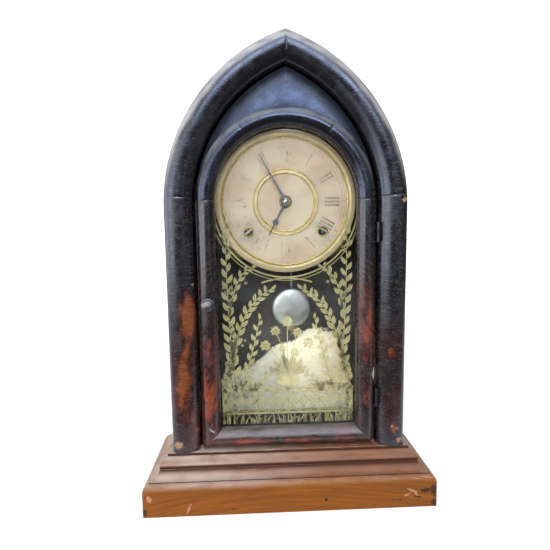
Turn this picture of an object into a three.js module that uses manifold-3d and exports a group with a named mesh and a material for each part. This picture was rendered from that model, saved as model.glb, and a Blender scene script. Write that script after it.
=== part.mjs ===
// A dome mantel clock: a pointed-arch shelf clock with a glazed door, a painted dial, a
// short pendulum, and a spring-driven movement that strikes a spiral wire gong.
// Millimetres. X runs to the right, Y to the back and Z up. The origin is the middle of
// the footprint, on the surface that the clock stands on.

import * as THREE from 'three';
import { mergeVertices } from 'three/addons/utils/BufferGeometryUtils.js';
import Module from 'manifold-3d';

const wasm = await Module();
wasm.setup();

// Base
const ledge = 27.9;
const plinthHeight = 33.5;
const plinthEdgeDepth = 5.5;
const plinthEdgeDrop = 7.5;
const backRailThickness = 16;
const baseMouldingHeight = 23.3;
const baseMouldingSetBack = 0.4;
const baseMouldingNose = 12.9;
const baseMouldingTop = 5;
const footFilletHeight = 0.8;
const coveHeight = 8.7;
const noseHeight = 4.4;
const noseRounding = 0.9;
const topFilletHeight = 3.4;
const baseBoardThickness = 12;

// Case
const caseWidth = 250;
const caseDepth = 82.6;
const springHeight = 314.5;
const archCentreOffset = 58;
const caseWall = 12;
const caseMouldingWidth = 28.8;
const caseMouldingCrest = 6.5;
const caseMouldingReveal = 4;
const caseMouldingJointRise = 12.5;
const backboardThickness = 6;

// Paper label on the backboard
const labelMargin = 35;
const labelRise = 9.2;
const labelHeight = 104;
const labelThickness = 0.4;
const tornEdgeShares = [
  [1, 0.24], [0.93, 0.55], [0.98, 0.8], [0.74, 0.97], [0.4, 1],
  [0.16, 0.86], [-0.12, 0.8], [-0.4, 0.62], [-0.72, 0.5], [-1, 0.36],
];

// Door
const doorGap = 2.7;
const doorFootGap = 1.2;
const doorRecess = 4;
const doorSlabThickness = 10;
const doorMouldingMargin = 0.7;
const doorMouldingWidth = 19;
const doorMouldingRise = 8.5;
const doorArchRise = 8;
const glassThickness = 2;
const glassInset = 5.2;
const rabbetWidth = 4.2;

// Door catch
const knobHeightShare = 0.6133;
const knobRadius = 5.6;
const knobNeckRadius = 2.6;
const rosetteRadius = 7;
const rosetteThickness = 1.8;
const knobProjection = 13;
const knobDomeShare = 0.8;
const catchShaftRadius = 2;
const catchLength = 17;
const catchWidth = 5;
const catchThickness = 1.6;

// Door hinges
const upperHingeDrop = 26.1;
const lowerHingeRise = 54;
const hingeHeight = 20.7;
const hingeLeafThickness = 0.8;
const hingeLeafDepth = 9;
const hingeBarrelRadius = 2;
const hingeBarrelDepth = 2;
const hingePinRadius = 0.9;

// Dial
const dialRise = 7;
const dialMargin = 0.8;
const dialThickness = 1.2;
const bezelWrap = 0.9;
const bezelWidth = 7.5;
const bezelRise = 4;
const bezelLip = 1.6;
const bezelCurveShare = 0.7;
const centreRingShare = 0.473;
const centreRingWidth = 5.3;
const centreRingRise = 2;
const windingSpacing = 80;
const windingDrop = 31.6;
const windingHoleRadius = 4.2;
const dialCentreHoleRadius = 7;
const dialBlockHeight = 44;
const dialBlockReach = 6;

// Hands
const minuteHandShare = 0.764;
const hourHandShare = 0.523;
const handTailWidth = 3.2;
const handTipWidth = 1;
const handThickness = 0.8;
const handEyeRadius = 4.4;
const hourDiscRadius = 3.1;
const hourDiscShare = 0.615;
const hourHandLift = 3.8;
const minuteHandLift = 5.6;
const handNutRadius = 3.2;
const handNutHeight = 2.2;
const handToGlassGap = 0.85;

// Movement plates. The room behind the dial is shared out between the motion work, the
// wheels between the plates and the gong.
const motionRoomShare = 0.205;
const wheelRoomShare = 0.56;
const plateThickness = 1.5;
const plateHalfWidth = 64;
const plateFootHalfWidth = 34;
const plateHeadHalfWidth = 38;
const plateDrop = 70.5;
const plateRise = 71.5;
const plateFootRise = 32;
const plateHeadDrop = 24;
const pillarRadius = 2.6;
const pillarSpread = 30;
const pillarFootSpread = 24;
const pillarInset = 6;
const postRadius = 3;
const postSpread = 22;

// Wheels
const greatModule = 1.02;
const secondModule = 1.02;
const centreModule = 0.65;
const thirdModule = 0.6;
const motionModule = 0.6;
const strikeSecondModule = 0.65;
const strikePinModule = 0.6;
const wheelThickness = 1.2;
const greatWheelThickness = 2;
const spokeShare = 0.22;
const rimWidthShare = 3;
const arborRadius = 1.2;
const pivotRadius = 0.8;
const centreArborRadius = 1.4;
const pinionLength = 5;
const pinionOverlap = 1.6;
const escapeRadius = 12;
const escapeToothDepth = 2;
const escapeRootShare = 0.8;
const escapeOffset = 6;
const pivotRise = 48.5;
const windingArborRadius = 2.6;
const windingSquare = 3.6;
const windingProjection = 8.6;
const ratchetRadius = 9;

// Places of the wheels, as shares of the room between the plates
const escapePlaceShare = 0.067;
const greatPlaceShare = 0.133;
const thirdPlaceShare = 0.3;
const pinPlaceShare = 0.417;
const centrePlaceShare = 0.633;
const strikeSecondPlaceShare = 0.75;
const timeSecondPlaceShare = 0.817;
const countPlaceShare = 0.88;
const springPlaceShare = 0.3;
const flyPlaceShare = 0.62;

// Places of the motion work behind the dial
const hourWheelSetBack = 1.4;
const minuteWheelSetBack = 4;

// Strike work
const countWheelRadius = 21;
const countSlotDepth = 2.4;
const liftingPinRadius = 0.7;
const liftingPinLength = 3.6;
const liftingPinOffset = 14;
const flyVaneLength = 8.4;
const flyVaneShare = 0.3;
const flyVaneThickness = 0.8;

// Springs and gong
const mainspringRadius = 25;
const mainspringTailShare = 0.07;
const mainspringWidthShare = 0.42;
const mainspringThickness = 1;
const gongRadius = 45;
const gongInnerRadius = 10;
const gongWireRadius = 1.1;
const gongDrop = 6.5;
const gongStandOff = 5.5;
const gongBlockRadius = 8.4;

// Escapement and pendulum
const palletClearance = 0.4;
const anchorWidth = 1.5;
const anchorBackShare = 1.5;
const anchorBellyShare = 1.2;
const palletSlopeShare = 0.33;
const crutchLength = 30;
const crutchWidth = 2.4;
const crutchThickness = 0.8;
const suspensionBlockWidth = 6;
const suspensionBlockHeight = 8;
const suspensionWidth = 3;
const suspensionThickness = 0.5;
const suspensionLength = 16;
const rodRadius = 0.7;
const rodPlaneGap = 3;
const bobDrop = 165;
const bobRadius = 21.5;
const bobThickness = 9;
const bobRimThickness = 2.4;
const ratingNutRadius = 4;
const ratingNutHeight = 3.2;
const rodTail = 11;

// Strike hammer
const hammerArborSide = -54;
const hammerArborDrop = 4;
const hammerArmLength = 46;
const hammerArmWidth = 2.6;
const hammerArmThickness = 1.2;
const hammerHeadRadius = 3.4;
const hammerHeadLength = 7;
const hammerGap = 1.5;

// Clearances and overruns
const seatGap = 0.15;
const mitreGap = 0.1;
const runningGap = 0.12;
const freeGap = 0.4;
const overrun = 1;

// Widths and depths that follow from the sizes above
const caseHalfWidth = caseWidth / 2;
const baseDepth = caseDepth + ledge;
const baseBack = baseDepth / 2;
const casePlane = baseBack - caseDepth;
const caseInnerHalfWidth = caseHalfWidth - caseWall;
const openingHalfWidth = caseHalfWidth - caseMouldingWidth;
const doorHalfWidth = openingHalfWidth - doorGap;
const doorFace = casePlane + doorRecess;
const doorBack = doorFace + doorSlabThickness;
const doorMouldingOuter = doorHalfWidth - doorMouldingMargin;
const glassHalfWidth = doorMouldingOuter - doorMouldingWidth;
const rabbetHalfWidth = glassHalfWidth + rabbetWidth;
const glassFront = doorFace + glassInset;
const glassBack = glassFront + glassThickness;
const handNutFront = glassBack + handToGlassGap;
const handNutBack = handNutFront + handNutHeight;
const minuteHandFront = handNutBack + seatGap;
const dialFront = minuteHandFront + minuteHandLift;
const dialBack = dialFront + dialThickness;
const dialRadius = glassHalfWidth + dialMargin;
const bezelRadius = dialRadius + bezelWrap;
const centreRingRadius = dialRadius * centreRingShare;
const backboardFace = baseBack - backboardThickness;
const movementRoom = backboardFace - dialFront - 2 * plateThickness;
const plateSpacing = movementRoom * wheelRoomShare;
const frontPlateFace = dialFront + movementRoom * motionRoomShare;
const frontPlateBack = frontPlateFace + plateThickness;
const backPlateFace = frontPlateBack + plateSpacing;
const backPlateBack = backPlateFace + plateThickness;
const rodPlane = frontPlateFace - rodPlaneGap;
const hingeAxisX = doorHalfWidth + doorGap / 2;
const hingeAxisY = casePlane - hingeBarrelDepth;
const windingSide = windingSpacing / 2;

// Heights that follow from the sizes above
const baseHeight = plinthHeight + baseMouldingHeight;
const doorBottom = baseHeight + doorFootGap;
const glassBottom = doorBottom + doorHalfWidth - glassHalfWidth;
const doorArchCentreHeight = springHeight + doorArchRise;
const knobHeight = doorBottom + (springHeight - doorBottom) * knobHeightShare;
const upperHingeHeight = springHeight - upperHingeDrop;
const lowerHingeHeight = baseHeight + lowerHingeRise;
const dialHeight = springHeight + dialRise;
const windingHeight = dialHeight - windingDrop;
const plateBottom = dialHeight - plateDrop;
const plateTop = dialHeight + plateRise;
const pivotHeight = dialHeight + pivotRise;
const bobHeight = pivotHeight - bobDrop;
const gongCentreHeight = dialHeight - gongDrop;
const hammerArborHeight = pivotHeight - hammerArborDrop;

// Counts
const archSteps = 14;
const roundArchSteps = 24;
const mouldingSteps = 10;
const roundSteps = 12;
const smallRoundSteps = 8;
const quarterSteps = 4;
const coveSteps = 6;
const knobSteps = 14;
const wheelSpokes = 5;
const spokeArcSteps = 3;
const bobSteps = 24;
const ringSteps = 36;
const springTurns = 4;
const springStepsPerTurn = 15;
const gongTurns = 3.5;
const gongStepsPerTurn = 18;
const gongSides = 4;

// Tooth counts of the two trains and of the motion work
const greatTeeth = 60;
const greatPinionLeaves = 12;
const secondTeeth = 48;
const centrePinionLeaves = 8;
const centreTeeth = 77;
const trainPinionLeaves = 7;
const thirdTeeth = 78;
const escapeTeeth = 36;
const cannonLeaves = 12;
const minuteWheelTeeth = 36;
const minutePinionLeaves = 10;
const hourWheelTeeth = 40;
const strikeSecondTeeth = 60;
const strikePinTeeth = 56;
const ratchetTeeth = 16;
const liftingPins = 8;
const hoursOnDial = 12;
const palletSpanTeeth = 6.5;

// Bearings in degrees: of the strike arbors from one to the next, of the minute wheel
// from the centre, and of the hands from twelve o'clock
const strikeSecondBearing = 103;
const strikePinBearing = 84;
const flyBearing = 58;
const minuteWheelBearing = 235;
const firstPinBearing = 22.5;
const minuteHandAngle = 331;
const hourHandAngle = 207.5;

// A tooth is a plain wedge. Its tip and root stand off the pitch circle, and wheels that
// mesh stand apart, by these shares of the module.
const tipShare = 1.1;
const rootShare = 0.8;
const spreadShare = 0.6;

const clock = new THREE.Group();

// Adds a piece to the clock under its own name.
function add(name, geometry, material) {
  const mesh = new THREE.Mesh(geometry, material);
  mesh.name = name;
  clock.add(mesh);
  return mesh;
}

function finish(colour, roughness, metalness) {
  return new THREE.MeshStandardMaterial({ color: colour, roughness, metalness });
}

const veneer = finish('#2b2524', 0.35, 0);
const mahogany = finish('#8a5228', 0.5, 0);
const pine = finish('#9a7a52', 0.8, 0);
const glass = finish('#dfe6e2', 0.05, 0);
const brass = finish('#b9a55a', 0.35, 0.9);
const steel = finish('#5c6066', 0.4, 0.9);
const blackIron = finish('#26262a', 0.6, 0.6);
const dialPaint = finish('#cdbba6', 0.6, 0);
const agedPaper = finish('#cfc8b4', 0.9, 0);
const silvered = finish('#b8bcbc', 0.3, 0.9);
const ebonised = finish('#2c211c', 0.4, 0);

// Six times the volume inside a closed mesh, positive where its faces point out.
function signedVolume(geometry) {
  const position = geometry.getAttribute('position');
  const index = geometry.getIndex();
  const corner = [new THREE.Vector3(), new THREE.Vector3(), new THREE.Vector3()];
  let sum = 0;
  for (let k = 0; k < index.count; k += 3) {
    corner.forEach((point, j) => point.fromBufferAttribute(position, index.getX(k + j)));
    sum += corner[0].dot(corner[1].clone().cross(corner[2]));
  }
  return sum;
}

// Merges shared corners, drops empty faces and turns the faces outwards.
function closed(source) {
  const geometry = source.clone();
  geometry.deleteAttribute('normal');
  geometry.deleteAttribute('uv');
  const merged = mergeVertices(geometry);
  const index = merged.getIndex();
  const kept = [];
  for (let k = 0; k < index.count; k += 3) {
    const face = [index.getX(k), index.getX(k + 1), index.getX(k + 2)];
    if (new Set(face).size === face.length) {
      kept.push(...face);
    }
  }
  merged.setIndex(kept);
  if (signedVolume(merged) < 0) {
    merged.setIndex(kept.reverse());
  }
  return merged;
}

function toSolid(geometry) {
  const shell = closed(geometry);
  return new wasm.Manifold(new wasm.Mesh({
    numProp: 3,
    vertProperties: new Float32Array(shell.getAttribute('position').array),
    triVerts: new Uint32Array(shell.getIndex().array),
  }));
}

function toGeometry(solid) {
  const mesh = solid.getMesh();
  const geometry = new THREE.BufferGeometry();
  geometry.setAttribute('position', new THREE.BufferAttribute(mesh.vertProperties, 3));
  geometry.setIndex(new THREE.BufferAttribute(mesh.triVerts, 1));
  return geometry;
}

function join(...pieces) {
  return toGeometry(pieces.map(toSolid).reduce((sum, solid) => sum.add(solid)));
}

function cut(piece, ...tools) {
  return toGeometry(tools.map(toSolid).reduce((rest, tool) => rest.subtract(tool), toSolid(piece)));
}

// A closed body through a row of sections, each a list of points in the same order as
// the flat section that its two end faces are filled from.
function loft(rings, section) {
  const count = section.length;
  const indices = [];
  for (let ring = 0; ring < rings.length - 1; ring += 1) {
    for (let k = 0; k < count; k += 1) {
      const a = ring * count + k;
      const b = ring * count + ((k + 1) % count);
      indices.push(a, b, a + count, b, b + count, a + count);
    }
  }
  const clockwise = THREE.ShapeUtils.isClockWise(section);
  const last = (rings.length - 1) * count;
  for (const [a, b, c] of THREE.ShapeUtils.triangulateShape(section, [])) {
    const [first, second] = clockwise ? [b, c] : [c, b];
    indices.push(a, first, second, last + a, last + second, last + first);
  }
  const geometry = new THREE.BufferGeometry();
  const points = rings.flat().flatMap((point) => point.toArray());
  geometry.setAttribute('position', new THREE.Float32BufferAttribute(points, 3));
  geometry.setIndex(indices);
  return closed(geometry);
}

// A flat outline drawn in X and Z, carried from front to back.
function panel(shape, front, back, curveSteps = roundSteps) {
  const geometry = new THREE.ExtrudeGeometry(shape, {
    depth: back - front,
    bevelEnabled: false,
    curveSegments: curveSteps,
  });
  geometry.rotateX(Math.PI / 2);
  geometry.translate(0, back, 0);
  return geometry;
}

// A solid turned about an axis that runs from front to back through (x, z), from pairs
// of radius and depth.
function turned(profile, x, z, steps = roundSteps) {
  const points = profile.map(([radius, depth]) => new THREE.Vector2(radius, depth));
  const geometry = new THREE.LatheGeometry(points, steps);
  geometry.translate(x, 0, z);
  return closed(geometry);
}

// A plain cylinder from front to back, or upwards.
function rod(radius, x, z, front, back, steps = smallRoundSteps) {
  return turned([[0, front], [radius, front], [radius, back], [0, back]], x, z, steps);
}

function uprightRod(radius, x, y, bottom, top, steps = smallRoundSteps) {
  const geometry = new THREE.CylinderGeometry(radius, radius, top - bottom, steps);
  geometry.rotateX(Math.PI / 2);
  geometry.translate(x, y, (bottom + top) / 2);
  return geometry;
}

// A block between two corners.
function block(x0, x1, y0, y1, z0, z1) {
  const geometry = new THREE.BoxGeometry(x1 - x0, y1 - y0, z1 - z0);
  geometry.translate((x0 + x1) / 2, (y0 + y1) / 2, (z0 + z1) / 2);
  return geometry;
}

function polygon(points) {
  return new THREE.Shape(points.map(([x, z]) => new THREE.Vector2(x, z)));
}

function steps(count) {
  return Array.from({ length: count + 1 }, (_, k) => k / count);
}

// Base: sections are pairs of projection in front of the case and height, and the same
// section runs along the front and, mitred, along both sides.
function plinthSection() {
  const edge = steps(quarterSteps).map((share) => {
    const angle = (share * Math.PI) / 2;
    return [
      ledge - plinthEdgeDepth * (1 - Math.cos(angle)),
      plinthHeight - plinthEdgeDrop * (1 - Math.sin(angle)),
    ];
  });
  return [[-caseWall, 0], [ledge, 0], ...edge, [-caseWall, plinthHeight]];
}

function baseMouldingSection() {
  const coveFoot = plinthHeight + footFilletHeight;
  const coveTop = coveFoot + coveHeight;
  const foot = ledge - plinthEdgeDepth - baseMouldingSetBack;
  const coveDepth = foot - baseMouldingNose;
  const cove = steps(coveSteps).map((share) => {
    const angle = (share * Math.PI) / 2;
    return [foot - coveDepth * Math.sin(angle), coveTop - coveHeight * Math.cos(angle)];
  });
  const noseTop = coveTop + noseHeight;
  return [
    [-caseWall, plinthHeight],
    [foot, plinthHeight],
    ...cove,
    [baseMouldingNose, noseTop],
    [baseMouldingNose - noseRounding, noseTop + noseRounding],
    [baseMouldingTop, baseHeight - topFilletHeight],
    [baseMouldingTop, baseHeight],
    [-caseWall, baseHeight],
  ];
}

function baseFrontStrip(section) {
  const flat = section.map(([out, z]) => new THREE.Vector2(out, z));
  const end = (side) => section.map(([out, z]) => (
    new THREE.Vector3(side * (caseHalfWidth + out - mitreGap), casePlane - out, z)));
  return loft([end(-1), end(1)], flat);
}

function baseSideStrip(section, side) {
  const flat = section.map(([out, z]) => new THREE.Vector2(out, z));
  const front = section.map(([out, z]) => (
    new THREE.Vector3(side * (caseHalfWidth + out), casePlane - out + mitreGap, z)));
  const back = section.map(([out, z]) => new THREE.Vector3(side * (caseHalfWidth + out), baseBack, z));
  return loft([front, back], flat);
}

function addBase() {
  const plinth = plinthSection();
  const moulding = baseMouldingSection();
  add('plinth_front', baseFrontStrip(plinth), mahogany);
  add('plinth_left', baseSideStrip(plinth, -1), mahogany);
  add('plinth_right', baseSideStrip(plinth, 1), mahogany);
  add('base_moulding_front', baseFrontStrip(moulding), mahogany);
  add('base_moulding_left', baseSideStrip(moulding, -1), mahogany);
  add('base_moulding_right', baseSideStrip(moulding, 1), mahogany);
  add('base_board', baseBoard(), pine);
}

// The floor board of the case, with a rail that closes the back of the base.
function baseBoard() {
  const halfWidth = caseInnerHalfWidth - seatGap;
  const underside = baseHeight - baseBoardThickness;
  const board = block(
    -halfWidth, halfWidth, casePlane + caseWall + seatGap, baseBack, underside, baseHeight);
  const rail = block(-halfWidth, halfWidth, baseBack - backRailThickness, baseBack, 0, underside + overrun);
  return join(board, rail);
}

// Case: a point at a distance from the centre line follows the upright side and then the
// arc about a centre past the other side, up to the middle plane.
function archPoint(side, distance, depth, angle) {
  const radius = distance + archCentreOffset;
  const x = radius * Math.cos(angle) - archCentreOffset;
  return new THREE.Vector3(side * x, depth, springHeight + radius * Math.sin(angle));
}

function archRing(side, section, startAngle, share) {
  return section.map(([distance, depth]) => {
    const apex = Math.acos((archCentreOffset + mitreGap) / (distance + archCentreOffset));
    return archPoint(side, distance, depth, startAngle + share * (apex - startAngle));
  });
}

function uprightRing(side, section, height) {
  return section.map(([distance, depth]) => new THREE.Vector3(side * distance, depth, height));
}

// The front moulding is a half round that sinks further on its inner edge.
function caseMouldingSection() {
  const curve = steps(mouldingSteps).map((share) => {
    const across = (1 - Math.cos(share * Math.PI)) / 2;
    const bow = Math.sin(share * Math.PI);
    const rise = caseMouldingCrest + caseMouldingReveal / 2;
    return [
      openingHalfWidth + caseMouldingWidth * across,
      casePlane + caseMouldingReveal * (1 - across) - rise * bow,
    ];
  });
  return [[caseHalfWidth, doorBack], [openingHalfWidth, doorBack], ...curve];
}

function caseShellSection() {
  return [
    [caseInnerHalfWidth, doorBack + seatGap],
    [caseHalfWidth, doorBack + seatGap],
    [caseHalfWidth, baseBack],
    [caseInnerHalfWidth, baseBack],
  ];
}

function flatten(section) {
  return section.map(([a, b]) => new THREE.Vector2(a, b));
}

function sideMoulding(side) {
  const section = caseMouldingSection();
  const jointAngle = Math.asin(caseMouldingJointRise / (caseHalfWidth + archCentreOffset));
  const arcs = steps(2).map((share) => section.map(([distance, depth]) => (
    archPoint(side, distance, depth, share * jointAngle))));
  const geometry = loft([uprightRing(side, section, baseHeight), ...arcs], flatten(section));
  return side > 0 ? hingePocket(geometry) : geometry;
}

function archMoulding(side) {
  const section = caseMouldingSection();
  const jointRise = caseMouldingJointRise + seatGap;
  const jointAngle = Math.asin(jointRise / (caseHalfWidth + archCentreOffset));
  const rings = steps(archSteps).map((share) => archRing(side, section, jointAngle, share));
  return loft(rings, flatten(section));
}

function caseShell(side) {
  const section = caseShellSection();
  const arcs = steps(archSteps).map((share) => archRing(side, section, 0, share));
  return loft([uprightRing(side, section, baseHeight), ...arcs], flatten(section));
}

// A pointed arch over an upright stretch, drawn as one outline.
function lancet(halfWidth, bottom) {
  const radius = halfWidth + archCentreOffset;
  const apex = Math.acos(archCentreOffset / radius);
  const arc = (side) => steps(archSteps).map((share) => [
    side * (radius * Math.cos(share * apex) - archCentreOffset),
    springHeight + radius * Math.sin(share * apex),
  ]);
  const left = arc(-1).reverse().slice(1);
  return [[-halfWidth, bottom], [halfWidth, bottom], ...arc(1), ...left];
}

function addCase() {
  for (const [side, word] of [[-1, 'left'], [1, 'right']]) {
    add(`case_shell_${word}`, caseShell(side), veneer);
    add(`side_moulding_${word}`, sideMoulding(side), veneer);
    add(`arch_moulding_${word}`, archMoulding(side), veneer);
    add(`dial_block_${word}`, dialBlock(side), pine);
  }
  const backShape = polygon(lancet(caseInnerHalfWidth - seatGap, baseHeight));
  add('backboard', panel(backShape, backboardFace, baseBack), pine);
  add('paper_label', paperLabel(), agedPaper);
}

// A block on the case wall that the rim of the dial is screwed to.
function dialBlock(side) {
  const top = dialHeight + dialBlockHeight / 2;
  const outer = archX(caseInnerHalfWidth - seatGap, top);
  const edges = [side * (dialRadius - dialBlockReach), side * outer].sort((a, b) => a - b);
  return block(
    edges[0], edges[1],
    dialFront + bezelLip + seatGap, frontPlateFace - freeGap,
    top - dialBlockHeight, top);
}

// A torn sheet pasted on the lower backboard, with its upper edge worn away in steps.
function paperLabel() {
  const labelHalfWidth = caseInnerHalfWidth - labelMargin;
  const labelBottom = baseHeight + labelRise;
  const torn = tornEdgeShares.map(([across, up]) => (
    [across * labelHalfWidth, labelBottom + up * labelHeight]));
  const shape = polygon([[-labelHalfWidth, labelBottom], [labelHalfWidth, labelBottom], ...torn]);
  return panel(shape, backboardFace - labelThickness, backboardFace);
}

// Door: the moulded stile and rail share one section, with a rabbet for the glass.
function doorSection() {
  const curve = steps(mouldingSteps - 2).map((share) => {
    const across = (1 + Math.cos(share * Math.PI)) / 2;
    const bow = Math.sin(share * Math.PI);
    return [glassHalfWidth + doorMouldingWidth * across, doorFace - doorMouldingRise * bow];
  });
  return [
    [rabbetHalfWidth, doorBack],
    [doorHalfWidth, doorBack],
    [doorHalfWidth, doorFace],
    ...curve,
    [glassHalfWidth, glassFront - seatGap],
    [rabbetHalfWidth, glassFront - seatGap],
  ];
}

function doorStile(side) {
  const section = doorSection();
  const foot = section.map(([distance, depth]) => (
    new THREE.Vector3(side * distance, depth, doorBottom + doorHalfWidth - distance + mitreGap)));
  const geometry = loft([foot, uprightRing(side, section, doorArchCentreHeight)], flatten(section));
  if (side > 0) {
    return hingePocket(geometry);
  }
  const bore = rod(
    catchShaftRadius + runningGap, catchSide(), knobHeight,
    doorFace - doorMouldingRise - overrun, doorBack + overrun, knobSteps);
  return cut(geometry, bore);
}

function doorRail() {
  const section = doorSection();
  const end = (side) => section.map(([distance, depth]) => (
    new THREE.Vector3(side * (distance - mitreGap), depth, doorBottom + doorHalfWidth - distance)));
  return loft([end(-1), end(1)], flatten(section));
}

// The head fills the space between the round glass and the pointed case.
function doorHead() {
  const outer = lancet(doorHalfWidth, doorArchCentreHeight).slice(1);
  const rim = outer.filter(([, z]) => z >= doorArchCentreHeight);
  const startX = archX(doorHalfWidth, doorArchCentreHeight);
  const arc = steps(roundArchSteps).map((share) => [
    -glassHalfWidth * Math.cos(share * Math.PI),
    doorArchCentreHeight + glassHalfWidth * Math.sin(share * Math.PI),
  ]);
  const outline = polygon([
    [startX, doorArchCentreHeight],
    ...rim.filter(([, z]) => z > doorArchCentreHeight + overrun),
    [-startX, doorArchCentreHeight],
    ...arc,
  ]);
  const rabbet = rod(
    rabbetHalfWidth, 0, doorArchCentreHeight,
    glassFront - seatGap, doorBack + overrun, 2 * roundArchSteps);
  return cut(panel(outline, doorFace, doorBack), rabbet);
}

// How far from the centre line the pointed outline lies at a height above the springing.
function archX(halfWidth, height) {
  const radius = halfWidth + archCentreOffset;
  return Math.sqrt(radius ** 2 - (height - springHeight) ** 2) - archCentreOffset;
}

function doorArchMoulding() {
  const middle = glassHalfWidth + doorMouldingWidth / 2;
  const section = steps(mouldingSteps - 2).map((share) => [
    middle + (doorMouldingWidth / 2) * Math.cos(share * Math.PI),
    doorFace - seatGap - (doorMouldingRise - seatGap) * Math.sin(share * Math.PI),
  ]);
  const rings = steps(roundArchSteps).map((share) => section.map(([radius, depth]) => new THREE.Vector3(
    -radius * Math.cos(share * Math.PI), depth,
    doorArchCentreHeight + radius * Math.sin(share * Math.PI))));
  return loft(rings, flatten(section));
}

function doorGlass() {
  const halfWidth = rabbetHalfWidth - freeGap;
  const bottom = glassBottom - rabbetWidth + freeGap;
  const shape = new THREE.Shape();
  shape.moveTo(-halfWidth, bottom);
  shape.lineTo(halfWidth, bottom);
  shape.lineTo(halfWidth, doorArchCentreHeight);
  shape.absarc(0, doorArchCentreHeight, halfWidth, 0, Math.PI);
  shape.closePath();
  return panel(shape, glassFront, glassFront + glassThickness, roundArchSteps);
}

function catchSide() {
  return -(glassHalfWidth + doorMouldingWidth / 2);
}

// A turned knob on a rosette, with the shaft that carries the catch behind the door.
function doorKnob() {
  const seat = doorFace - doorMouldingRise - seatGap;
  const tip = seat - knobProjection;
  const domeDepth = knobRadius * knobDomeShare;
  const neckFront = tip + domeDepth * 2;
  const dome = steps(quarterSteps).map((share) => {
    const angle = (share * Math.PI) / 2;
    return [knobRadius * Math.sin(angle), tip + domeDepth * (1 - Math.cos(angle))];
  });
  return turned([
    ...dome,
    [knobNeckRadius, neckFront],
    [knobNeckRadius, seat - rosetteThickness],
    [rosetteRadius, seat - rosetteThickness / 2],
    [rosetteRadius, seat],
    [catchShaftRadius, seat],
    [catchShaftRadius, doorBack + seatGap],
    [0, doorBack + seatGap],
  ], catchSide(), knobHeight, knobSteps);
}

// The catch stands upright when the door is free, and turns behind the case moulding.
function doorCatch() {
  const front = doorBack + 2 * seatGap;
  return block(
    catchSide() - catchWidth / 2, catchSide() + catchWidth / 2,
    front, front + catchThickness,
    knobHeight - catchWidth / 2, knobHeight + catchLength);
}

// Hinges: one leaf on the case with the outer knuckles, one on the door between them.
function hingePocket(geometry) {
  const pocket = (height) => uprightRod(
    hingeBarrelRadius + freeGap, hingeAxisX, hingeAxisY,
    height - hingeHeight / 2 - freeGap, height + hingeHeight / 2 + freeGap, roundSteps);
  return cut(geometry, pocket(upperHingeHeight), pocket(lowerHingeHeight));
}

function hingeKnuckle(bottom, top, inward) {
  const inner = hingeAxisX - inward * (doorGap / 2);
  const outer = inner + inward * hingeLeafThickness;
  const tab = block(
    Math.min(inner, outer), Math.max(inner, outer),
    hingeAxisY + hingePinRadius + freeGap, hingeAxisY + hingeBarrelRadius + 2 * freeGap,
    bottom, top);
  return [uprightRod(hingeBarrelRadius, hingeAxisX, hingeAxisY, bottom, top, roundSteps), tab];
}

function hingeLeaf(height, inward, spans, boreGap) {
  const bottom = height - hingeHeight / 2;
  const inner = hingeAxisX - inward * (doorGap / 2);
  const outer = inner + inward * hingeLeafThickness;
  const front = hingeAxisY + hingeBarrelRadius + freeGap;
  const leaf = block(
    Math.min(inner, outer), Math.max(inner, outer),
    front, front + hingeLeafDepth,
    bottom, bottom + hingeHeight);
  const knuckles = spans.flatMap(([low, high]) => hingeKnuckle(bottom + low, bottom + high, inward));
  const bore = uprightRod(
    hingePinRadius + boreGap, hingeAxisX, hingeAxisY,
    bottom - overrun, bottom + hingeHeight + overrun, roundSteps);
  return cut(join(leaf, ...knuckles), bore);
}

// The pin is riveted into the outer knuckles of the case leaf.
function hingeCaseLeaf(height) {
  const third = hingeHeight / 3;
  const spans = [[0, third - seatGap], [2 * third + seatGap, hingeHeight]];
  const pin = uprightRod(
    hingePinRadius, hingeAxisX, hingeAxisY, height - hingeHeight / 2, height + hingeHeight / 2, roundSteps);
  return join(hingeLeaf(height, -1, spans, 0), pin);
}

function addHinge(word, height) {
  const third = hingeHeight / 3;
  const middleSpan = [[third + seatGap, 2 * third - seatGap]];
  add(`hinge_case_leaf_${word}`, hingeCaseLeaf(height), blackIron);
  add(`hinge_door_leaf_${word}`, hingeLeaf(height, 1, middleSpan, runningGap), blackIron);
}

function addDoor() {
  add('door_stile_left', doorStile(-1), veneer);
  add('door_stile_right', doorStile(1), veneer);
  add('door_rail', doorRail(), veneer);
  add('door_head', doorHead(), veneer);
  add('door_arch_moulding', doorArchMoulding(), veneer);
  add('door_glass', doorGlass(), glass);
  add('door_knob', doorKnob(), ebonised);
  add('door_catch', doorCatch(), steel);
  addHinge('upper', upperHingeHeight);
  addHinge('lower', lowerHingeHeight);
}

// Dial: a flat painted plate in a rounded brass bezel, with a raised brass centre ring.
function dialPlate() {
  const plate = rod(dialRadius, 0, dialHeight, dialFront, dialBack, ringSteps);
  const hole = (radius, x, z) => rod(radius, x, z, dialFront - overrun, dialBack + overrun, roundSteps);
  return cut(
    plate,
    hole(dialCentreHoleRadius, 0, dialHeight),
    hole(windingHoleRadius, -windingSide, windingHeight),
    hole(windingHoleRadius, windingSide, windingHeight));
}

function dialBezel() {
  const inner = bezelRadius - bezelWidth;
  const seat = dialFront - seatGap;
  const curve = steps(coveSteps).map((share) => [
    inner + bezelWidth * (1 - Math.cos(share * Math.PI)) / 2,
    seat - bezelRise * Math.sin(share * Math.PI) ** bezelCurveShare,
  ]);
  return turned([
    ...curve,
    [bezelRadius, dialFront + bezelLip],
    [dialRadius + seatGap, dialFront + bezelLip],
    [dialRadius + seatGap, seat],
    [inner, seat],
  ], 0, dialHeight, ringSteps);
}

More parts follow.
